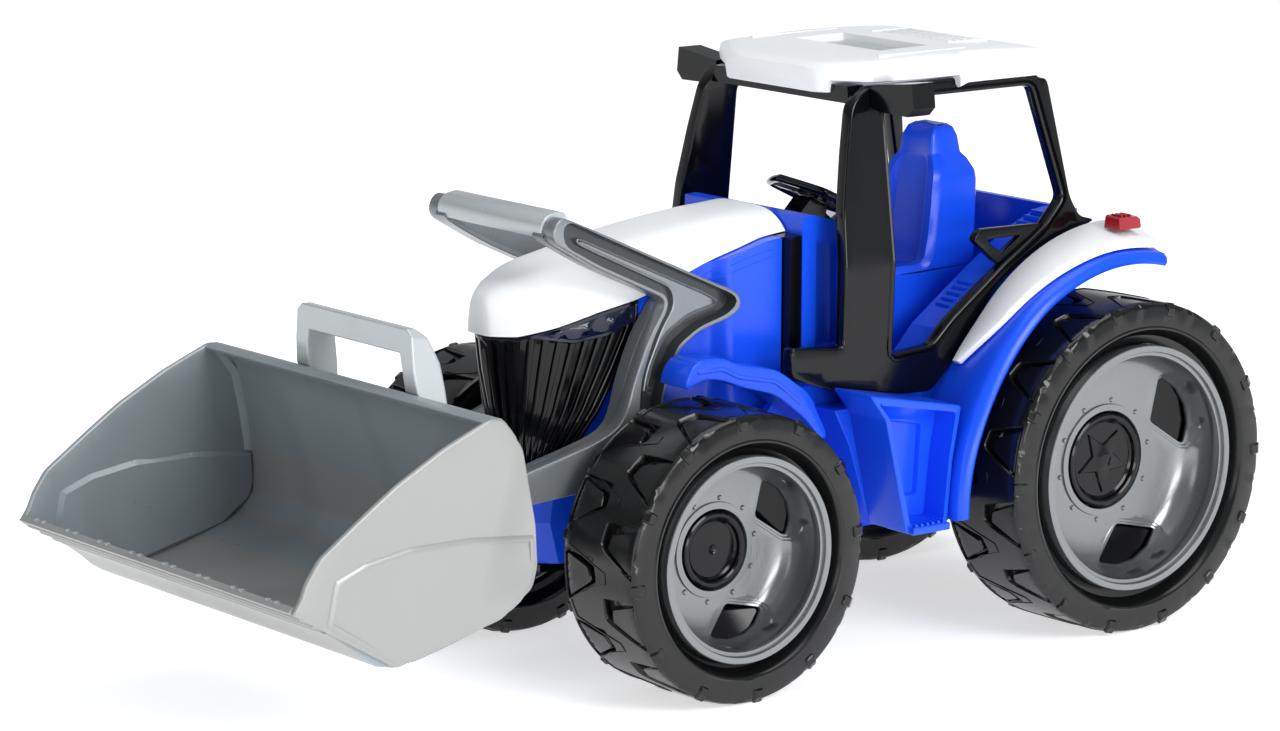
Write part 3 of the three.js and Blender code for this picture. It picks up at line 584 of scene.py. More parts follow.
# A rim window's corners, as shares of the rim's radius and turns from its middle, and the middles in degrees.
WINDOW = [(0.60, 0.0), (0.85, -0.39), (0.885, -0.2), (0.895, 0.0), (0.885, 0.2), (0.85, 0.39)]
WINDOW_TURNS = (25, 156, 288)
RIM_STEPS, CAP_STEPS = 96, 64       # points round a rim and round a cap
BRIM = 0.93                         # where the bowl meets the wall, as a share of the rim's radius


def rim_windows(edge):
    """The loops round the windows and the holes themselves."""
    loops, holes = [], []
    for turn in WINDOW_TURNS:
        corners = [polar(edge * reach, radians(turn) - swing) for reach, swing in WINDOW]
        shape = rounded(corners, 1.8, 4)
        loops += terraces(shape, (-3.4, 0.0), (-3.0, -0.8), (-1.9, -0.8), (-1.5, -1.7), (-0.5, -1.7))
        holes.append(at_height(shape, -2.6))
    return loops, holes


def rim(wheel):
    edge, hub, cap, outer = wheel["bead"] - 0.9, wheel["hub"], wheel["cap"], wheel["outer"]
    brim = edge * BRIM
    loops, holes = rim_windows(edge)
    for k in range(10):
        spot = polar(hub + 6.2, radians(36 * k + 10))
        loops += boss(spot, 10, (1.5, 0.0), (0.8, 0.9))
    ring = boss((0, 0), RIM_STEPS, (hub + 4.2, 0.0), (hub + 3.9, 1.1), (hub + 1.2, 1.1))
    spots = []
    for i in range(14):
        r = hub + 8.5 + (brim - hub - 9.4) * i / 13
        shift = 0.5 * (round(r * 10) % 2)
        spots += [polar(r, tau * (j + shift) / RIM_STEPS) for j in range(RIM_STEPS)]
    holes.append(disc((0, 0), hub + 0.6, RIM_STEPS, 1.1))
    face = relief(
        disc((0, 0), brim, RIM_STEPS), [*ring, *loops], spots,
        lambda u, v, h: (bowl(wheel, hypot(u, v)) + h, u, v), holes,
    )
    lips = (
        (-5.2, -5.0), (-4.9, -3.4), (-3.2, -3.2), (-2.9, -1.4), (-2.6, -1.0), (0.3, -1.0), (0.7, -1.4),
        (0.7, -6.0), (0.0, -7.0),
    )
    wall = [(brim, bowl(wheel, brim)), (edge * 0.95, outer - 11)]
    wall += [(edge + wide, outer + out) for wide, out in lips] + [(edge, wheel["inner"] + 12)]
    sleeve = [(hub + 0.6, cap + 0.1), (hub + 0.3, cap - 0.6), (hub + 0.3, cap - 8)]
    return [face, lathe(wall, RIM_STEPS), lathe(sleeve, RIM_STEPS)]


def shade_backing(wheel):
    """A black sheet inside the wheel, seen through the rim's windows in place of the shade there: painted
    shade.
    """
    edge, depth = wheel["bead"] - 3.6, wheel["cap"] - 9
    front = [(6, depth), (edge * 0.7, depth + 1), (edge, depth + 11)]
    return [lathe(front + [(r, x - 2) for r, x in reversed(front)], CAP_STEPS)]


def cap_profile(wheel):
    hub, face = wheel["hub"] - 0.5, wheel["cap"]
    steps = (
        (0, -6.4), (0, -0.6), (-0.5, 0.4), (-1.4, 0.9), (-3.0, 0.8), (-3.9, 0.2), (-4.6, -1.6), (-5.8, -2.4),
    )
    return [(0.01, face - 6.4)] + [(hub + wide, face + out) for wide, out in steps]


def front_cap(wheel):
    face = wheel["cap"]
    centre = [(wheel["hub"] * 0.5, face - 1.9), (2.6, face - 1.7), (1.8, face - 2.2), (0.01, face - 2.5)]
    return [lathe(cap_profile(wheel) + centre, CAP_STEPS)]


def rear_cap(wheel):
    """A cap with a raised star in its dish."""
    rise = wheel["hub"] - 6.3
    loops = []
    for outer, inner, height in ((0.94, 0.42, 0.0), (0.86, 0.37, 1.1), (0.2, 0.08, 2.2)):
        reach = [rise * (outer if k % 2 else inner) for k in range(10)]
        loops.append(at_height([polar(reach[k], pi * (k + 0.5) / 5) for k in range(10)], height))
    dish = relief(disc((0, 0), rise, CAP_STEPS), loops, [], lambda u, v, h: (wheel["cap"] - 2.4 + h, u, v))
    return [lathe(cap_profile(wheel), CAP_STEPS), dish]


def wheel_pieces():
    for end, wheel, cap in (("front", FRONT, front_cap), ("rear", REAR, rear_cap)):
        sets = (
            ("tyre", tyre(wheel), TYRE, "tyre_plastic", 0.0),
            ("rim", rim(wheel), RIM_SILVER, "silver_plastic", 1.8),
            ("hub_cap", cap(wheel), BLACK, "black_plastic", 0.0),
            # A black sheet behind the rim's windows: painted shade.
            ("rim_window_shade", shade_backing(wheel), BLACK, "black_plastic", 0.0),
        )
        for side, sign in (("left", 1), ("right", -1)):
            body = f"{end}_{side}_wheel"
            for part, shapes, look, slot, wall in sets:
                placed = [
                    moved(shape, lambda x, y, z: (sign * x, y + wheel["y"], z + wheel["radius"]))
                    for shape in shapes
                ]
                nodes = [] if part == "rim_window_shade" else [f"{end}_{side}_{part}"]
                make(f"{part}_{end}_{side}", placed, look, body, slot, nodes, wall=wall, sharp=30)


# ---- hood ----
def line_at(line, y):
    for (y0, z0), (y1, z1) in zip(line, line[1:]):
        if y <= y1:
            return z0 + (z1 - z0) * (y - y0) / (y1 - y0)
    return line[-1][1]


HOOD_BASE, HOOD_WALL = 170.0, 2.4


def hood_ring(y, half, crest, shrink, floor):
    """An arch over the engine that starts and ends on the hood's lower line."""
    rise = crest - shrink - HOOD_BASE
    start = asin(min(0.97, max(0.02, (floor - HOOD_BASE) / rise) ** (1 / 0.75)))
    steps = 28
    ring = []
    for i in range(steps + 1):
        turn = start + (pi - 2 * start) * i / steps
        across = copysign(abs(cos(turn)) ** 0.55, cos(turn))
        ring.append(((half - shrink) * across, y, HOOD_BASE + rise * sin(turn) ** 0.75))
    return ring


def hood():
    """A shell of outer and inner arches, with its nose closed and its edges joining the two."""
    stations = spline(HOOD_STATIONS, 5)
    outer, inner = (
        [hood_ring(y, half, crest, shrink, line_at(HOOD_LINE, y) + 0.2) for y, half, crest in stations]
        for shrink in (0, HOOD_WALL)
    )
    inner[0] = [(x, y + 1.8, z) for x, y, z in inner[0]]
    rings = [a + b[::-1] for a, b in zip(outer, inner)]
    points, faces = grid(rings, around=True)
    count, last = len(outer[0]), len(points) - len(rings[0])
    faces += [tuple(range(count)), tuple(range(count, 2 * count))]
    end = last + 2 * count - 1
    faces += [(last + i, last + i + 1, end - 1 - i, end - i) for i in range(count - 1)]
    return points, faces


# ---- loader ----
ARM = dict(inner=44.5, outer=53.5, flange=37.0)
ARM_OUTLINE = [
    (-330.5, 237), (-328.5, 242), (-324, 245), (-301, 235), (-269, 220.5), (-236.5, 206), (-214, 196.5),
    (-209.5, 192), (-210, 186.5), (-217, 182.5), (-236.5, 178), (-249.5, 170), (-256, 158), (-260, 146),
    (-262, 122), (-267, 110), (-275, 105.5), (-346, 101), (-374, 90), (-382, 89.6), (-387.6, 94),
    (-388.4, 99), (-386, 104), (-381, 106.8), (-346, 118), (-304, 127.5), (-290, 133), (-283.5, 141),
    (-279, 156), (-270, 177), (-259, 193), (-260.5, 197.5), (-301, 216), (-329, 232),
]
ARM_POCKET = [
    (-322, 238.5), (-319, 240), (-301, 231.5), (-269, 217), (-237, 202.5), (-217, 193.5), (-214, 190.5),
    (-220, 186.5), (-238, 182), (-252.5, 173.5), (-259.5, 160), (-263.5, 147), (-266, 131), (-274, 131),
    (-272.5, 156), (-264.5, 177), (-255, 192), (-256.5, 200), (-300, 220), (-321, 231.5),
]
ARM_PANEL = [
    (-312, 233.5), (-269, 214.3), (-228, 196), (-220, 191), (-224, 188.5), (-240, 185.5), (-255, 177),
    (-263, 164), (-268, 147), (-270.5, 148), (-268, 160), (-258, 181), (-250, 192), (-252, 201),
    (-300, 223.5), (-313, 230),
]
ARM_FLANGE = [(-330.4, 236.6), *ARM_OUTLINE[:22:-1]]
PIVOTS = [(-275, 116), (-380, 98)]


def flange():
    """The web that follows the arm's front edge on its inner side, and narrows towards the bucket."""
    line = spline(ARM_FLANGE, 3)
    root = ARM["inner"] + 1
    rows = []
    for i, point in enumerate(line):
        taper = max(0, (i - len(line) * 0.62) / (len(line) * 0.38))
        inner = ARM["flange"] + (ARM["inner"] - ARM["flange"] - 0.6) * taper
        near, far = Vector(point), Vector(point) + left_of(line, i) * 2.6
        rows.append([
            (inner + 0.5, *near), (root, *near), (root, *far), (inner + 0.5, *far),
            (inner, *(far * 0.8 + near * 0.2)), (inner, *(far * 0.2 + near * 0.8)),
        ])
    return loft(rows)


def loader_arm():
    pocket, panel = rounded(ARM_POCKET, 5, 3), rounded(ARM_PANEL, 5, 3)
    loops = terraces(pocket, (-2.1, 0.0), (-1.5, -7.2))
    loops += terraces(panel, (-0.2, -7.2), (0.3, -4.6), (0.9, -4.4), (1.5, -5.6))
    for pivot in PIVOTS:
        loops += boss(pivot, 20, (7.6, 0.0), (7.2, 0.5))
    return [plate(rounded(ARM_OUTLINE, 6, 3), loops, ARM["inner"], ARM["outer"], 0.8), flange()]


def cross_bar():
    outline = [(-330.5, 233), (-331, 240.5), (-327, 245), (-318, 246.5), (-314, 243.5), (-318.5, 237.5)]
    half = ARM["inner"] - 0.35
    return side_slab(rounded(outline, 2.4, 3), -half, half, 0.3)


def in_recess(x, y, z):
    """Whether a point is in the arm's recess, beside the raised panel, where the shade is painted."""
    if not ARM["inner"] + 1 < x < ARM["outer"] - 0.3:
        return False
    pocket, panel = inset(rounded(ARM_POCKET, 5, 3), -2.2), inset(rounded(ARM_PANEL, 5, 3), -0.1)
    return inside((y, z), pocket) and not inside((y, z), panel)


def loader_pieces():
    for arm in make_pair("arm", loader_arm(), SILVER, "loader", "silver_plastic", ["loader_arm"]):
        # The arms' recesses take the darker silver: painted shade.
        second_look(arm, SHADE_PAINTED_SILVER, in_recess)
    # The crossbar takes the paler silver: painted light.
    make("crossbar", [cross_bar()], LIT_SILVER, "loader", "silver_plastic", ["loader_crossbar"])


# ---- bucket ----
BUCKET_HALF, BUCKET_WALL = 124.5, 3.0
BUCKET_SIDE = [
    (-420, 166.3), (-412, 165), (-401, 149.5), (-393.4, 111), (-392.4, 90), (-395.5, 80), (-414, 67.3),
    (-476, 52.6), (-534.3, 87.2), (-529.5, 93.5), (-526.5, 101), (-519, 111.5), (-492, 130), (-475, 141),
    (-448, 155),
]
BUCKET_PANEL = [
    (-516, 78.5), (-511, 100), (-493.5, 106.5), (-467, 110.5), (-432, 110.2), (-395, 106.5), (-393.9, 90.5),
    (-396.8, 81.2), (-414.6, 69), (-476, 54.3),
]
OUTER_SHEET = [(-535.2, 88.2), (-506, 70), (-476, 52.8), *BUCKET_SIDE[6:0:-1]]
INNER_SHEET = [
    (-532.4, 90.6), (-505, 74), (-475.3, 56.6), (-415, 70.6), (-398.3, 82.3), (-395.7, 91), (-396.6, 110.5),
    (-404.3, 148.5), (-414.5, 161.6),
]
LUG = [(-395, 110), (-381, 107), (-373, 101), (-372, 94), (-377, 89.5), (-395, 88)]
CORNER = [(-396.5, 107), (-396.9, 111), (-400, 130), (-404.3, 148.5), (-411, 157.5), (-414.5, 161.2)]
TOP_LIP = [(-416, 166.2), (-421.6, 165.6), (-423, 164.4), (-422, 163.0), (-417, 162.2)]


def bucket():
    side, panel = rounded(BUCKET_SIDE, 2.8, 3), rounded(BUCKET_PANEL, 2, 3)
    inner_marks = terraces(panel, (0, 0.0), (2.4, -2.2))
    outer_marks = terraces(panel, (0, 0.0), (1.2, 0.9), (3.4, 1.1))
    wall = plate(side, outer_marks, BUCKET_HALF - BUCKET_WALL, BUCKET_HALF, 1.1, back=inner_marks)
    ring = spline(OUTER_SHEET, 4) + TOP_LIP + spline(INNER_SHEET[::-1], 4)
    inner = BUCKET_HALF - BUCKET_WALL + 0.4
    sheet = loft([[(x, *point) for point in ring] for x in (-inner, -inner / 2, 0, inner / 2, inner)])
    lug = side_slab(rounded(LUG, 3), 54.1, 58.1, 0.5)
    corner = loft([
        [(inner, y + 0.6, z), (inner - 3.6, y + 0.6, z), (inner - 3.2, y - 0.8, z), (inner, y - 3.6, z)]
        for y, z in CORNER
    ])
    shapes = [wall, mirrored(wall), sheet, lug, mirrored(lug), corner, mirrored(corner)]
    shapes += [bead(between(OUTER_SHEET[0], OUTER_SHEET[2], share), inner) for share in (0.1, 0.22, 0.34)]
    for middle in range(-105, 106, 30):
        teeth = (middle - 3.6, middle + 3.6)
        shapes += [box(x - 1.3, x + 1.3, -533.4, -531.6, 89.4, 91.2) for x in teeth]
    return shapes


def in_bucket(x, y, z):
    """Whether a point is on the bucket's inner faces, away from its edges."""
    mouth = [*INNER_SHEET, BUCKET_SIDE[0], *BUCKET_SIDE[:8:-1]]
    return x < BUCKET_HALF - 2.2 and inside((y, z), inset(mouth, -1.5)) and y < -397


def bead(centre, half):
    """A thin rod across the bucket."""
    return loft([[(x, y, z) for y, z, _ in disc(centre, 1.1, 10)] for x in (-half, half)])


def handle():
    """The bow behind the bucket: its legs' faces at each height, then the corner and the beam."""
    front = [(147, -399.2), (150, -401.4), (165.4, -412.2), (167.5, -414), (200, -414)]
    back = [(147, -393.2), (163, -394), (188, -398), (200, -400)]
    legs = [(43.6, 54.9, 147), (42.9, 53.8, 157), (42.2, 52.8, 166), (40.9, 51.4, 179)]
    rings = []
    for inner, outer, z in legs:
        y0, y1 = line_at(front, z), line_at(back, z)
        section = [(inner, y0), (outer, y0), (outer, y1 - 1.5), (outer - 1.5, y1), (inner, y1)]
        rings.append(at_height(section, z))
    rings.append([
        (39.5, -414, 184.5), (50, -414, 194), (49.6, -404, 193), (45, -398.6, 188), (39.5, -397.5, 184.5),
    ])
    beam = [(-414, 184.5), (-414, 197.5), (-408.5, 197.3), (-398.4, 188), (-397.5, 184.5)]
    rings += [[(x, *p) for x, p in zip(places, beam)] for places in ((37, 46, 45, 42, 37), (0, 0, 0, 0, 0))]
    far = [[(-x, y, z) for x, y, z in ring] for ring in reversed(rings[:-1])]
    return loft(rings + far)


# ---- grille and lamps ----
GRILLE_LEVELS = [
    (107, -311, 9, 14, 19, 21, -304), (112, -317, 10, 17, 24, 28, -293), (124, -324, 11, 19, 27, 31.5, -284),
    (140, -329, 12, 20.5, 28.5, 33, -275), (160, -333, 12, 21, 29.5, 34, -269),
    (183, -336, 12, 21.5, 30.5, 35, -264), (200, -336, 12, 21.5, 30.5, 35, -262),
]
LAMP_OUTLINE = [
    (-325, 179.3), (-308, 183.6), (-286, 189.5), (-266, 193.6), (-265.5, 184), (-280, 178), (-300, 175.5),
]
SLATS = 11                          # on each side of the grille's middle


def grille_plan(z):
    """Half plan of the grille at a height, from the middle of the front to its rear edge."""
    for low, high in zip(GRILLE_LEVELS, GRILLE_LEVELS[1:]):
        if z <= high[0] or high is GRILLE_LEVELS[-1]:
            break
    _, front, w1, w2, w3, w4, rear = between(low, high, (z - low[0]) / (high[0] - low[0]))
    shares = ((0, 0), (w1, 0.06), (w2, 0.2), (w3, 0.5))
    return spline([(x, front + share * (rear - front)) for x, share in shares] + [(w4, rear)], 6)


def plan_point(plan, share):
    lengths = [dist(a, b) for a, b in zip(plan, plan[1:])]
    left = share * sum(lengths)
    for a, b, length in zip(plan, plan[1:], lengths):
        if left <= length or b is plan[-1]:
            run = Vector(b) - Vector(a)
            return between(a, b, left / length), Vector((run.y, -run.x)).normalized()
        left -= length


def grille():
    """Slats and gaps from the foot up to the hood's line; low down they keep closer to the middle."""
    cells = [(0.0, -1.9), (0.3, -1.9), (0.38, 0.0), (0.5, 0.25), (0.8, 0.0), (0.88, -1.9)]
    columns = [((k + at) / SLATS, height) for k in range(SLATS) for at, height in cells] + [(1.0, 0.0)]
    rows, foot, low_reach = 26, 107, 0.6
    sheet = []
    for j in range(rows + 1):
        row = []
        for share, height in columns:
            top = 180.0
            for _ in range(3):
                (x, y), _ = plan_point(grille_plan(top), share)
                top = line_at(HOOD_LINE, y) - 0.35
            z = foot + (top - foot) * j / rows
            reach = low_reach + (1 - low_reach) * min(1, (z - foot) / 72) ** 0.62
            (x, y), out = plan_point(grille_plan(z), share * reach)
            at_edge = j in (0, rows) or top - z < 3.0
            rise = 0.0 if at_edge and height <= 0 else height
            row.append((x + out.x * rise, y + out.y * rise, z))
        sheet.append([(-x, y, z) for x, y, z in row[:0:-1]] + row)
    return grid(sheet)


def grille_side(y, z):
    return line_at([(station, across) for across, station in grille_plan(z)], y)


def headlamp():
    outline = rounded(LAMP_OUTLINE, 3, 3)
    loops = terraces(outline, (0.5, 0.9), (1.1, 0.9), (1.5, 0.3))
    for bulb in ((-309, 180), (-293, 182), (-278, 184.5)):
        loops += boss(bulb, 12, (2.6, 0.3), (1.4, 1.0))
    spots = spots_over(-322, -267, 175, 191, 4)
    return relief(at_height(outline, -0.4), loops, spots, lambda y, z, h: (grille_side(y, z) + h, y, z))


# ---- cab ----
WAIST, LEAN = 205.0, 0.125
FRAME_INNER, FRAME_OUTER = 66.4, 74.0
FRAME_OUTLINE = [
    (-193, 167), (-193, 151), (-160, 139.5), (-138, 134.8), (-97, 133), (-86, 142.5), (-72, 159),
    (-50, 185.8), (-32, 196.5), (-14, 204.7), (14, 211), (20, 213.5), (9, 216), (3, 227), (-8, 291),
    (-14, 291.5), (-18, 296), (-133, 296), (-141, 292), (-146, 286), (-151, 262), (-156, 232), (-157, 205),
    (-158, 163),
]
FRAME_WINDOW = [
    (-124, 156), (-97, 158), (-84, 170), (-47, 196), (-18, 213), (-3, 227), (-20, 288), (-92, 288),
    (-123, 284), (-122, 205),
]
BRACKET = [(-49, 195.5), (-66, 210), (-61, 215), (-20, 214.5), (-14, 213), (-19, 211)]
BRACKET_HOLE = [(-46, 201), (-57, 209.5), (-32, 209.5)]
COLUMN = dict(y=-117.6, z=230.1, lean=0.45)


def leaning(x, y, z):
    return x - LEAN * max(0.0, z - WAIST), y, z


def cab_side():
    outline = refine(rounded(FRAME_OUTLINE, 4, 3), 7)
    window = rounded(FRAME_WINDOW, 4, 3)
    levels = ((-4.6, 0.0), (-4.1, 0.7), (-3.2, 0.7), (-2.8, -0.6))
    loops = [at_height(refine(inset(window, gap), 7), height) for gap, height in levels]
    window = refine(window, 7)
    frame_plate = plate(outline, loops, FRAME_INNER, FRAME_OUTER, 1.5, 9, window=window, lean=leaning)
    hole = rounded(BRACKET_HOLE, 1.5, 2)
    bracket = plate(
        rounded(BRACKET, 2, 2), [], FRAME_INNER, FRAME_INNER + 5, 0.6, 6, window=hole, lean=leaning,
    )
    return [frame_plate, bracket]


def seat():
    """Rings from the floor to the headrest: height, front and back station, half width, bolster height."""
    rows = [
        (145.8, -83, -23, 23, 0), (170, -84.5, -22.6, 23, 0), (180, -85, -22.5, 23, 0.3),
        (185.4, -83.2, -22.4, 23, 1.2), (187.6, -79.5, -22.3, 23, 2.2), (187.3, -72, -22.2, 23, 2.6),
        (187.2, -62, -22.1, 23, 2.6), (189, -56.5, -22, 23, 2.6), (193, -53.6, -21.9, 23, 2.6),
        (205, -51.2, -21.6, 23, 2.6), (222, -49.2, -20.9, 22.8, 2.6), (233, -48, -20.3, 22.2, 2.4),
        (238, -47, -20.6, 21, 2.0), (244, -45.6, -23, 17, 1.2), (247, -45.2, -25, 14, 0.6),
        (248, -45.6, -25, 13.4, 0.4), (256, -44.4, -26.5, 12.8, 0.4), (260.6, -41.8, -28.5, 11.4, 0.3),
        (262.6, -38.5, -31, 9, 0),
    ]
    side = [(0.52, 0), (0.66, 1), (0.9, 1), (0.955, -0.3), (1, -1.6)]
    across = [(-share, rise) for share, rise in reversed(side)] + [(0, 0)] + side
    rings = []
    for k, (z, front, back, half, bolster) in enumerate(rows):
        low, high = rows[max(k - 1, 0)], rows[min(k + 1, len(rows) - 1)]
        run = Vector((high[1] - low[1], high[0] - low[0])).normalized()
        out = Vector((-run.y, run.x))
        ring = []
        for share, rise in across:
            lift = rise * bolster if rise > 0 else rise
            ring.append((share * half, front + out.x * lift, z + out.y * lift))
        corners = [(half, back - 1.5), (half * 0.95, back), (-half * 0.95, back), (-half, back - 1.5)]
        ring += at_height(corners, z)
        rings.append(ring)
    return loft(rings)


def steering_wheel():
    """A six-sided ring with soft corners, on three spokes and a hub."""
    tube, reach, steps = 2.1, 25.5, 56
    rows = []
    for i in range(steps):
        a = tau * i / steps
        corner = (a + pi / 6) % (pi / 3) - pi / 6
        radius = reach * (0.2 + 0.8 * cos(pi / 6) / cos(corner))
        rows.append([
            (*polar(radius + tube * cos(b), a), tube * sin(b) * (1.15 if sin(b) > 0 else 0.9))
            for b in [tau * j / 14 for j in range(14)]
        ])
    hub = boss((0, 0), 24, (8.0, -2), (8.4, 1.2), (7.4, 2.4), (4.0, 2.8))
    shapes = [grid(rows, around=True, along=True), loft(hub)]
    for turn in (90, 210, 330):
        bar = [[(x, -half, -1.1), (x, half, -1.1), (x, half * 0.7, 1.2), (x, -half * 0.7, 1.2)]
               for x, half in ((6, 2.6), (10, 1.9), (16, 1.9), (22.6, 2.8))]
        c, s = cos(radians(turn)), sin(radians(turn))
        shapes.append(moved(loft(bar), lambda x, y, z: (c * x - s * y, s * x + c * y, z)))
    return [moved(shape, on_column) for shape in shapes]


def on_column(x, y, z):
    """From the steering wheel's own plane to the top of the leaning column."""
    c, s = cos(COLUMN["lean"]), sin(COLUMN["lean"])
    return x, COLUMN["y"] + c * y + s * z, COLUMN["z"] - s * y + c * z


def console_switches():
    shapes = []
    for k in range(5):
        y, z = between((-72, 173.5), (-57, 184), k / 4)
        shapes.append(box(49, 59, y - 0.8, y + 0.8, z - 1.5, z + 1.2))
    for k in range(3):
        shapes.append(box(47, 60, -14 + 5 * k, -12 + 5 * k, 209 + 2.4 * k, 213 + 2.4 * k))
    return shapes


# ---- roof ----
ROOF_STATIONS = [
    (-147, 36, 304), (-143, 44, 306.5), (-135, 57, 308), (-128, 64, 309), (-90, 67, 310), (-50, 67, 310),
    (-14, 66.5, 308), (-7, 62, 305), (0, 55, 299),
]
HATCH = dict(half=33, front=-102, back=-69, floor=304.5)


def roof():
    """Cross sections from front to rear, hollow from below, with thinner sides over the front part."""
    marks = [
        -147, -145.5, -143, -139, -135, -131, -128, -120, -105, -90, -74, -73.4, -67.6, -67, -50, -35, -22,
        -14, -10.5, -7, -3.5, -1.2, 0,
    ]
    low_front, low_rear, thin_edge = 291.5, 293.5, 297.8
    curve = spline(ROOF_STATIONS, 8)
    rings = []
    for y in marks:
        half, crest = (line_at([(p[0], p[k]) for p in curve], y) for k in (1, 2))
        centre = low_front if y < -70 else low_rear
        wing = thin_edge if -143 <= y < -73.5 else centre
        hollow = crest - 4.5 if -128 <= y <= -14 else centre
        notch = min(41.5, half - 3.5)
        rise = crest - wing
        half_ring = [
            (0, hollow), (min(37, half - 8), hollow), (min(38.5, half - 6), centre), (notch, centre),
            (notch + 1, wing), (half - 1.6, wing), (half - 0.4, wing + 0.5), (half + 0.2, wing + rise * 0.28),
            (half + 0.2, wing + rise * 0.5), (half - 0.9, wing + rise * 0.74),
            (half - 3.4, wing + rise * 0.9), (half - 8, wing + rise * 0.975), (half * 0.72, crest),
            (half * 0.35, crest - 0.1), (0, crest - 0.1),
        ]
        rings.append([(x, y, z) for x, z in half_ring] + [(-x, y, z) for x, z in half_ring[-2:0:-1]])
    return loft(rings)


def hatch_well():
    half, front, back, floor_z = HATCH["half"], HATCH["front"], HATCH["back"], HATCH["floor"]
    low = [(-half, front + 9), (half, front + 9), (half, back), (-half, back)]
    high = [(-half - 2, front - 3), (half + 2, front - 3), (half + 2, back + 1), (-half - 2, back + 1)]
    return loft([[(x, y, floor_z - 0.2) for x, y in low], [(x, y, 312.0) for x, y in high]])


def roof_trim():
    shapes = [box(-27, 27, y, y + 2.6, 308.6, 310.4) for y in (-47, -41.5, -36, -30.5)]
    shapes += [box(side - 1.3, side + 1.3, -52, -24, 308.4, 310.5) for side in (-31, 31)]
    shapes += [box(side - 1.0, side + 1.0, -118, -58, 308.8, 310.4) for side in (-52, 52)]
    return shapes


def cut_away(piece, shapes):
    """The piece less some closed shapes."""
    tool = add_object("cutter", mesh_of("cutter", shapes))
    cutting = piece.modifiers.new("cut", "BOOLEAN")
    cutting.operation, cutting.object, cutting.solver = "DIFFERENCE", tool, "EXACT"
    bpy.context.view_layer.update()
    result = piece.evaluated_get(bpy.context.evaluated_depsgraph_get())
    finished = bpy.data.meshes.new_from_object(result)
    piece.modifiers.remove(cutting)
    piece.data = finished
    piece.data.set_sharp_from_angle(angle=radians(38))
    bpy.data.objects.remove(tool)


# ---- rear fenders ----
FENDER_STATIONS = [
    (72, 125, 117, 106), (80, 123.5, 116, 108.5), (90, 119, 114.5, 108.5), (105, 112, 112, 107.5),
    (120, 105.5, 110, 104), (132, 101.5, 108, 97), (145, 101, 107, 82), (158, 101.5, 107.5, 77),
    (172, 102, 110, 77), (189, 103, 114, 77),
]


def fender_point(turn, x, radius):
    y, z = polar(radius, radians(turn), (REAR["y"], REAR["radius"]))
    return x, y, z


def rear_fender():
    rings = []
    for turn, inner, outer, _ in spline(FENDER_STATIONS, 5):
        middle = (inner + outer) / 2
        section = [
            (66.8, inner - 1.2), (76, inner - 1.3), (92, middle - 1.5), (106, outer - 1.6),
            (110, outer - 2.2), (113, outer - 4.2), (114, outer - 7.2), (113.2, outer - 8.8),
            (111.5, outer - 8.6), (109.5, outer - 6), (106.5, outer - 4.9), (92, middle - 4.6),
            (76, inner - 4.6), (66.8, inner - 4.4),
        ]
        rings.append([fender_point(turn, x, radius) for x, radius in section])
    return loft(rings)


def fender_cover():
    """The skin over the fender, from its rear end to part of the way down its front."""
    rings = []
    for turn, inner, outer, edge in spline([row for row in FENDER_STATIONS if row[0] <= 145], 5):
        section = [
            (77, 1.2), (76.7, 2.8), (77, 4.2), (78, 4.8), (edge - 2.5, 4.6), (edge - 0.8, 4.1),
            (edge + 0.2, 2.9), (edge + 0.3, 1.2),
        ]
        slope = outer - inner - 0.5
        rings.append([
            fender_point(turn, x, inner - 1.3 + slope * (x - 76) / 33 + lift) for x, lift in section
        ])
    return loft(rings)


def tail_lamp():
    body = [[(89 + d, y, 211.8), (101 - d, y, 211.8), (100.4 - d, y, 218.6 - s), (89.8 + d, y, 219 - s)]
            for y, d, s in ((11, 0, 1.0), (12, 0, 0.2), (24, 0, 0.4), (27, 0.4, 2.4))]
    ribs = [box(91, 99, y, y + 1.2, 217.4, 219.4, 0.3) for y in (14, 17, 20)]
    return [loft(body), *ribs]


# ---- body details ----
def ribbon(line, width, height, place):
    """A thin raised line that follows a curve on a surface."""
    rows = []
    for i, point in enumerate(line):
        side = left_of(line, i) * width / 2
        ends = 0.15 if i in (0, len(line) - 1) else 1.0
        rows.append([
            place(point[0] + side.x * share, point[1] + side.y * share, rise * ends if rise > 0 else rise)
            for share, rise in ((-1, -0.4), (-0.5, height), (0.5, height), (1, -0.4))
        ])
    return loft(rows)


def body_lines():
    curves = [
        [(-232, 197), (-215, 205), (-198, 210), (-180, 213.5)],
        [(-236, 191.5), (-215, 201), (-198, 206), (-180, 209.5)],
        [(-252, 172), (-240, 183), (-224, 191), (-208, 195)],
        [(-246, 170), (-234, 180), (-220, 186.5), (-206, 190)],
    ]

    def on_side(y, z, height):
        return engine_side(y) + height, y, z

    return [ribbon(spline(curve, 5), 1.0, 0.4, on_side) for curve in curves]


FIN_OUTLINE = [
    (-265, 153), (-262, 163), (-256, 168), (-240, 168), (-230, 163), (-204, 157.5), (-183, 143), (-170, 119),
    (-174, 117), (-187, 131), (-206, 145), (-228, 151), (-240, 156), (-252, 158),
]
FIN_RIB = [
    (-257, 163), (-240, 163.5), (-229, 158), (-205, 152.6), (-187, 139), (-189, 137), (-206, 150.4),
    (-230, 155.6), (-241, 161), (-257, 161),
]


def fin():
    """The blade over the front wheel, with a thin rib along its outer face."""
    rib = terraces(rounded(FIN_RIB, 1, 1), (0, 0.0), (0.5, 0.6))
    return [plate(rounded(FIN_OUTLINE, 5, 3), rib, 55.2, 76.7, 0.9)]


def engine_side(y):
    """Half the engine's width at a station. Its swelling stays between the CAD's side and the arms."""
    narrow, swell, start, length = 36.35, 7.6, -219, 11
    share = min(1.0, max(0.0, (y - start) / length))
    return narrow + swell * share * share * (3 - 2 * share)


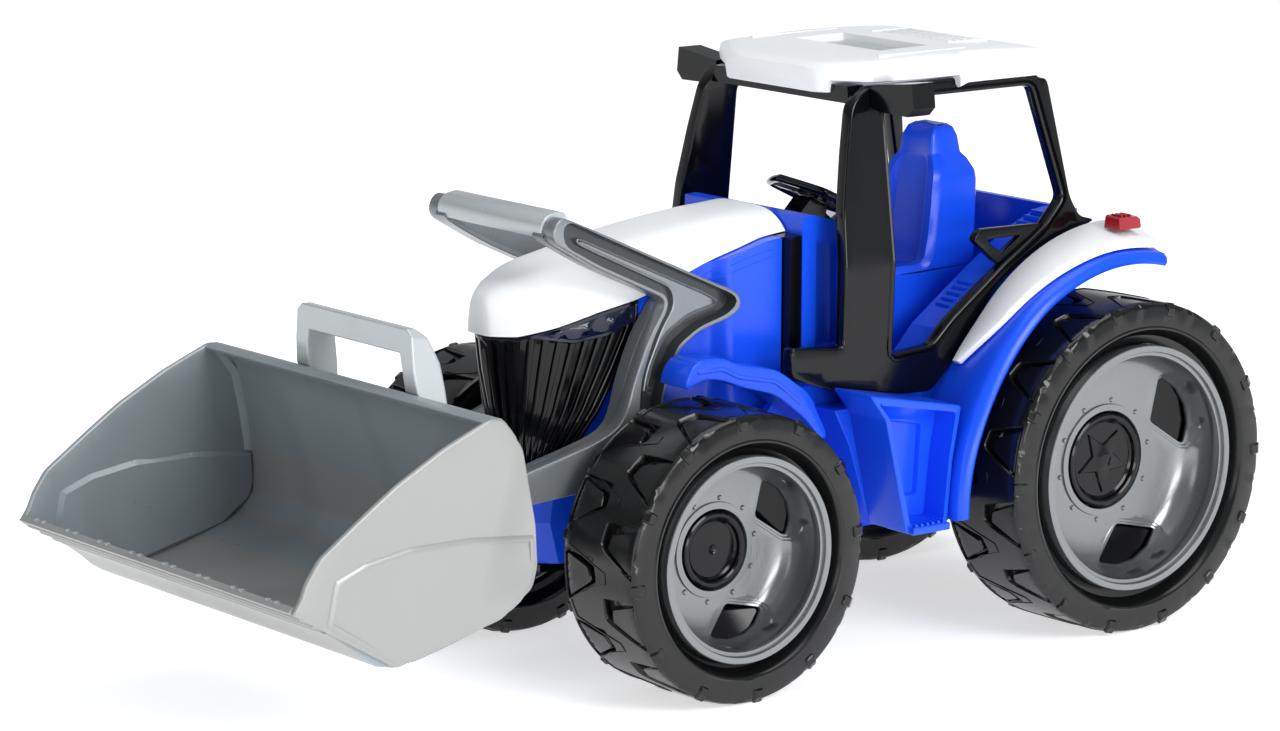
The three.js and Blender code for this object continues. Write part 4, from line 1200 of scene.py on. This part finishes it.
def engine_panel():
    """The smooth skin over the engine's side, from the grille back to the cowl."""
    front, step, stations = -261.5, 2, 44
    foot, rows, thickness = 109, 12, 1.2
    rings = []
    for j in range(rows + 1):
        face = []
        for y in [front + step * i for i in range(stations)]:
            top = line_at(HOOD_LINE, y) - 0.5
            face.append((engine_side(y) + 0.05, y, foot + (top - foot) * j / rows))
        rings.append(face + [(x - thickness, y, z) for x, y, z in reversed(face)])
    return loft(rings)


STEP_OUTLINE = [(-167, 144), (-104, 131.5), (-109.5, 104), (-113.2, 67), (-141, 68), (-156, 130)]
STEP_WELL = [(-161, 139.4), (-107.8, 128.6), (-112.4, 104), (-115.6, 72), (-138.6, 72.6), (-153.2, 130)]
STEP_PANEL = [(-146, 127), (-119, 121.5), (-121.5, 84), (-136, 84)]


def boarding_step():
    """The open box under the cab, a ledge inside it and a ribbed tread at its foot."""
    outline, well, panel = (rounded(line, 2, 2) for line in (STEP_OUTLINE, STEP_WELL, STEP_PANEL))
    loops = terraces(well, (0, 0.0), (0.8, -15)) + terraces(panel, (0, -15), (1, -17.5))
    root = side_slab([(-166, 131.5), (-119, 131.5), (-119, 68), (-141, 68), (-156, 112)], 58.4, 77, 0.5)
    board = box(88, 109.4, -139, -114, 67.4, 71.5, 0.8)
    ribs = [box(90, 108.6, y, y + 1.5, 71, 73, 0.3) for y in (-137, -133.2, -129.4, -125.6, -121.8, -118)]
    return [plate(outline, loops, 76, 106, 0.8), root, board, *ribs]


def bucket_pieces():
    shell = make("bucket_shell", bucket(), BUCKET_GREY, "bucket", "silver_plastic", ["bucket"], sharp=35)
    second_look(shell, INNER_GREY, in_bucket)
    # The bow takes the paler silver: painted light.
    make("bucket_bow", [handle()], LIT_SILVER, "bucket", "silver_plastic", ["bucket_handle"], bevel=1.2)


def cab_pieces():
    make_pair("cab_frame", cab_side(), BLACK, "chassis", "black_plastic", ["cab_side"])
    make("driver_seat", [seat()], BLUE, "chassis", "blue_plastic", ["seat"], bevel=0.5)
    wheel = steering_wheel()
    make("steering_wheel_ring", wheel, BLACK, "steering_wheel", "black_plastic", ["steering_wheel"], bevel=0.3)
    make("console_switches", console_switches(), BLUE, "chassis", "blue_plastic")
    top = make("roof_shell", [roof()], WHITE, "chassis", "white_plastic", ["roof"])
    cut_away(top, [hatch_well()])
    make("roof_trim", roof_trim(), WHITE, "chassis", "white_plastic")


def body_pieces():
    make_pair("fender", [rear_fender()], BLUE, "chassis", "blue_plastic", ["rear_fender"])
    make_pair("cover", [fender_cover()], WHITE, "chassis", "white_plastic", ["fender_cover"])
    make_pair("brake_light", tail_lamp(), RED, "chassis", "red_plastic", ["tail_lamp"])
    for name, shapes in (("engine_panel", [engine_panel()]), ("engine_lines", body_lines()), ("fin", fin())):
        make_pair(name, shapes, BLUE, "chassis", "blue_plastic")
    make_pair("step", boarding_step(), BLUE, "chassis", "blue_plastic", ["boarding_step"])


# ---- studio ----
def floor():
    """White paper that glows a little, so that it stays as bright as the background."""
    mesh = bpy.data.meshes.new("floor")
    half = 9.0
    corners = [(-half, -half, 0), (half, -half, 0), (half, half, 0), (-half, half, 0)]
    mesh.from_pydata(corners, [], [(0, 1, 2, 3)])
    paper = plastic("floor_paper", (0.93, 0.93, 0.935), 0.75, vary=0.01, grain=60.0, bump=0.02)
    shader = paper.node_tree.nodes["Principled BSDF"]
    shader.inputs["Emission Color"].default_value = (1, 1, 1, 1)
    shader.inputs["Emission Strength"].default_value = 0.6
    mesh.materials.append(paper)
    ground = add_object("floor", mesh)


def area_light(name, place, target, size, power):
    lamp = bpy.data.lights.new(name, "AREA")
    lamp.shape, lamp.size, lamp.size_y = "RECTANGLE", size[0], size[1]
    lamp.energy = power
    holder = add_object(name, lamp)
    holder.location = place
    holder.rotation_mode = "QUATERNION"
    holder.rotation_quaternion = (Vector(target) - Vector(place)).to_track_quat("-Z", "Y")


def studio():
    world = bpy.data.worlds.new("studio")
    world.use_nodes = True
    tree = world.node_tree
    direction = add_node(tree, "TexCoord", {}).outputs["Generated"]
    up = add_node(tree, "SeparateXYZ", {"Vector": direction}).outputs["Z"]
    glow = add_node(tree, "ValToRGB", {"Fac": up})
    ramp = glow.color_ramp
    ramp.elements[0].position, ramp.elements[1].position = 0.14, 0.9
    ramp.elements[0].color, ramp.elements[1].color = (0.8, 0.8, 0.8, 1), (0.55, 0.55, 0.55, 1)
    ramp.elements.new(0.26).color = (0.22, 0.22, 0.22, 1)
    tree.links.new(glow.outputs[0], tree.nodes["Background"].inputs["Strength"])
    tree.nodes["Background"].inputs["Color"].default_value = (0.95, 0.97, 1.0, 1)
    bpy.context.scene.world = world
    bpy.context.scene.view_settings.view_transform = "Standard"
    area_light("overhead", (0.1, 0.2, 2.0), (0, 0, 0.1), (1.5, 1.5), 14)
    area_light("left_key", (2.3, 0.2, 1.35), (0, 0, 0.12), (1.2, 1.0), 36)
    area_light("left_low", (2.3, -0.3, 0.3), (0, 0, 0.1), (1.3, 0.4), 11)
    area_light("front_fill", (0.4, -2.4, 0.7), (0, -0.1, 0.12), (1.2, 0.8), 5)


CAMERA = dict(yaw=52.07, pitch=10.95, roll=0.2, lens=132.67, place=(1.8995, -1.4914, 0.6173))


def camera():
    """The photograph's view, found by matching the wheels, the bucket and the roof."""
    yaw, pitch, roll = (radians(CAMERA[name]) for name in ("yaw", "pitch", "roll"))
    back = Vector((sin(yaw) * cos(pitch), -cos(yaw) * cos(pitch), sin(pitch)))
    level = Vector((cos(yaw), sin(yaw), 0))
    right = level * cos(roll) + back.cross(level) * sin(roll)
    lens = bpy.data.cameras.new("camera")
    lens.lens, lens.sensor_width = CAMERA["lens"], 36
    holder = add_object("camera", lens)
    turn = Matrix([right, back.cross(right), back]).transposed().to_4x4()
    holder.matrix_world = Matrix.Translation(CAMERA["place"]) @ turn
    bpy.context.scene.camera = holder


# ---- the CAD nodes that stay ----
def kept_nodes():
    groups = (
        (BLUE, "blue_plastic", 0.6, ["body_shell", "cab_tub", "dashboard"]),
        (BLACK, "black_plastic", 0.5, [
            "underbody_plate", "cab_front_header", "cab_rear_header", "work_lamp_left", "work_lamp_right",
            "cab_cowl", "steering_column", "tow_hitch",
        ]),
        # The roof hatch's grey: painted shade in the roof's recess.
        (GREY, "grey_plastic", 0.3, ["roof_hatch"]),
        (SILVER, "silver_plastic", 0.5, ["loader_cross_tube"]),
        (STEEL, "steel", 0.3, [
            "front_axle", "rear_axle", *[f"plate_screw_{k}" for k in (1, 2, 3, 4)], "hitch_pin",
            "lift_pin_left", "lift_pin_right", "tilt_pin_left", "tilt_pin_right",
        ]),
    )
    for look, slot, width, nodes in groups:
        for node in nodes:
            keep(node, look, slot, width)


wheel_pieces()
make("hood", [hood()], WHITE, "chassis", "white_plastic", ["hood_cover"], sharp=40)
loader_pieces()
bucket_pieces()
make("grille_slats", [grille()], BLACK, "chassis", "black_plastic", ["grille"], wall=2.4)
make_pair("lamp_lens", [headlamp()], LENS, "chassis", "lens", ["headlamp"], wall=0.8)
cab_pieces()
body_pieces()
kept_nodes()
floor()
studio()
camera()
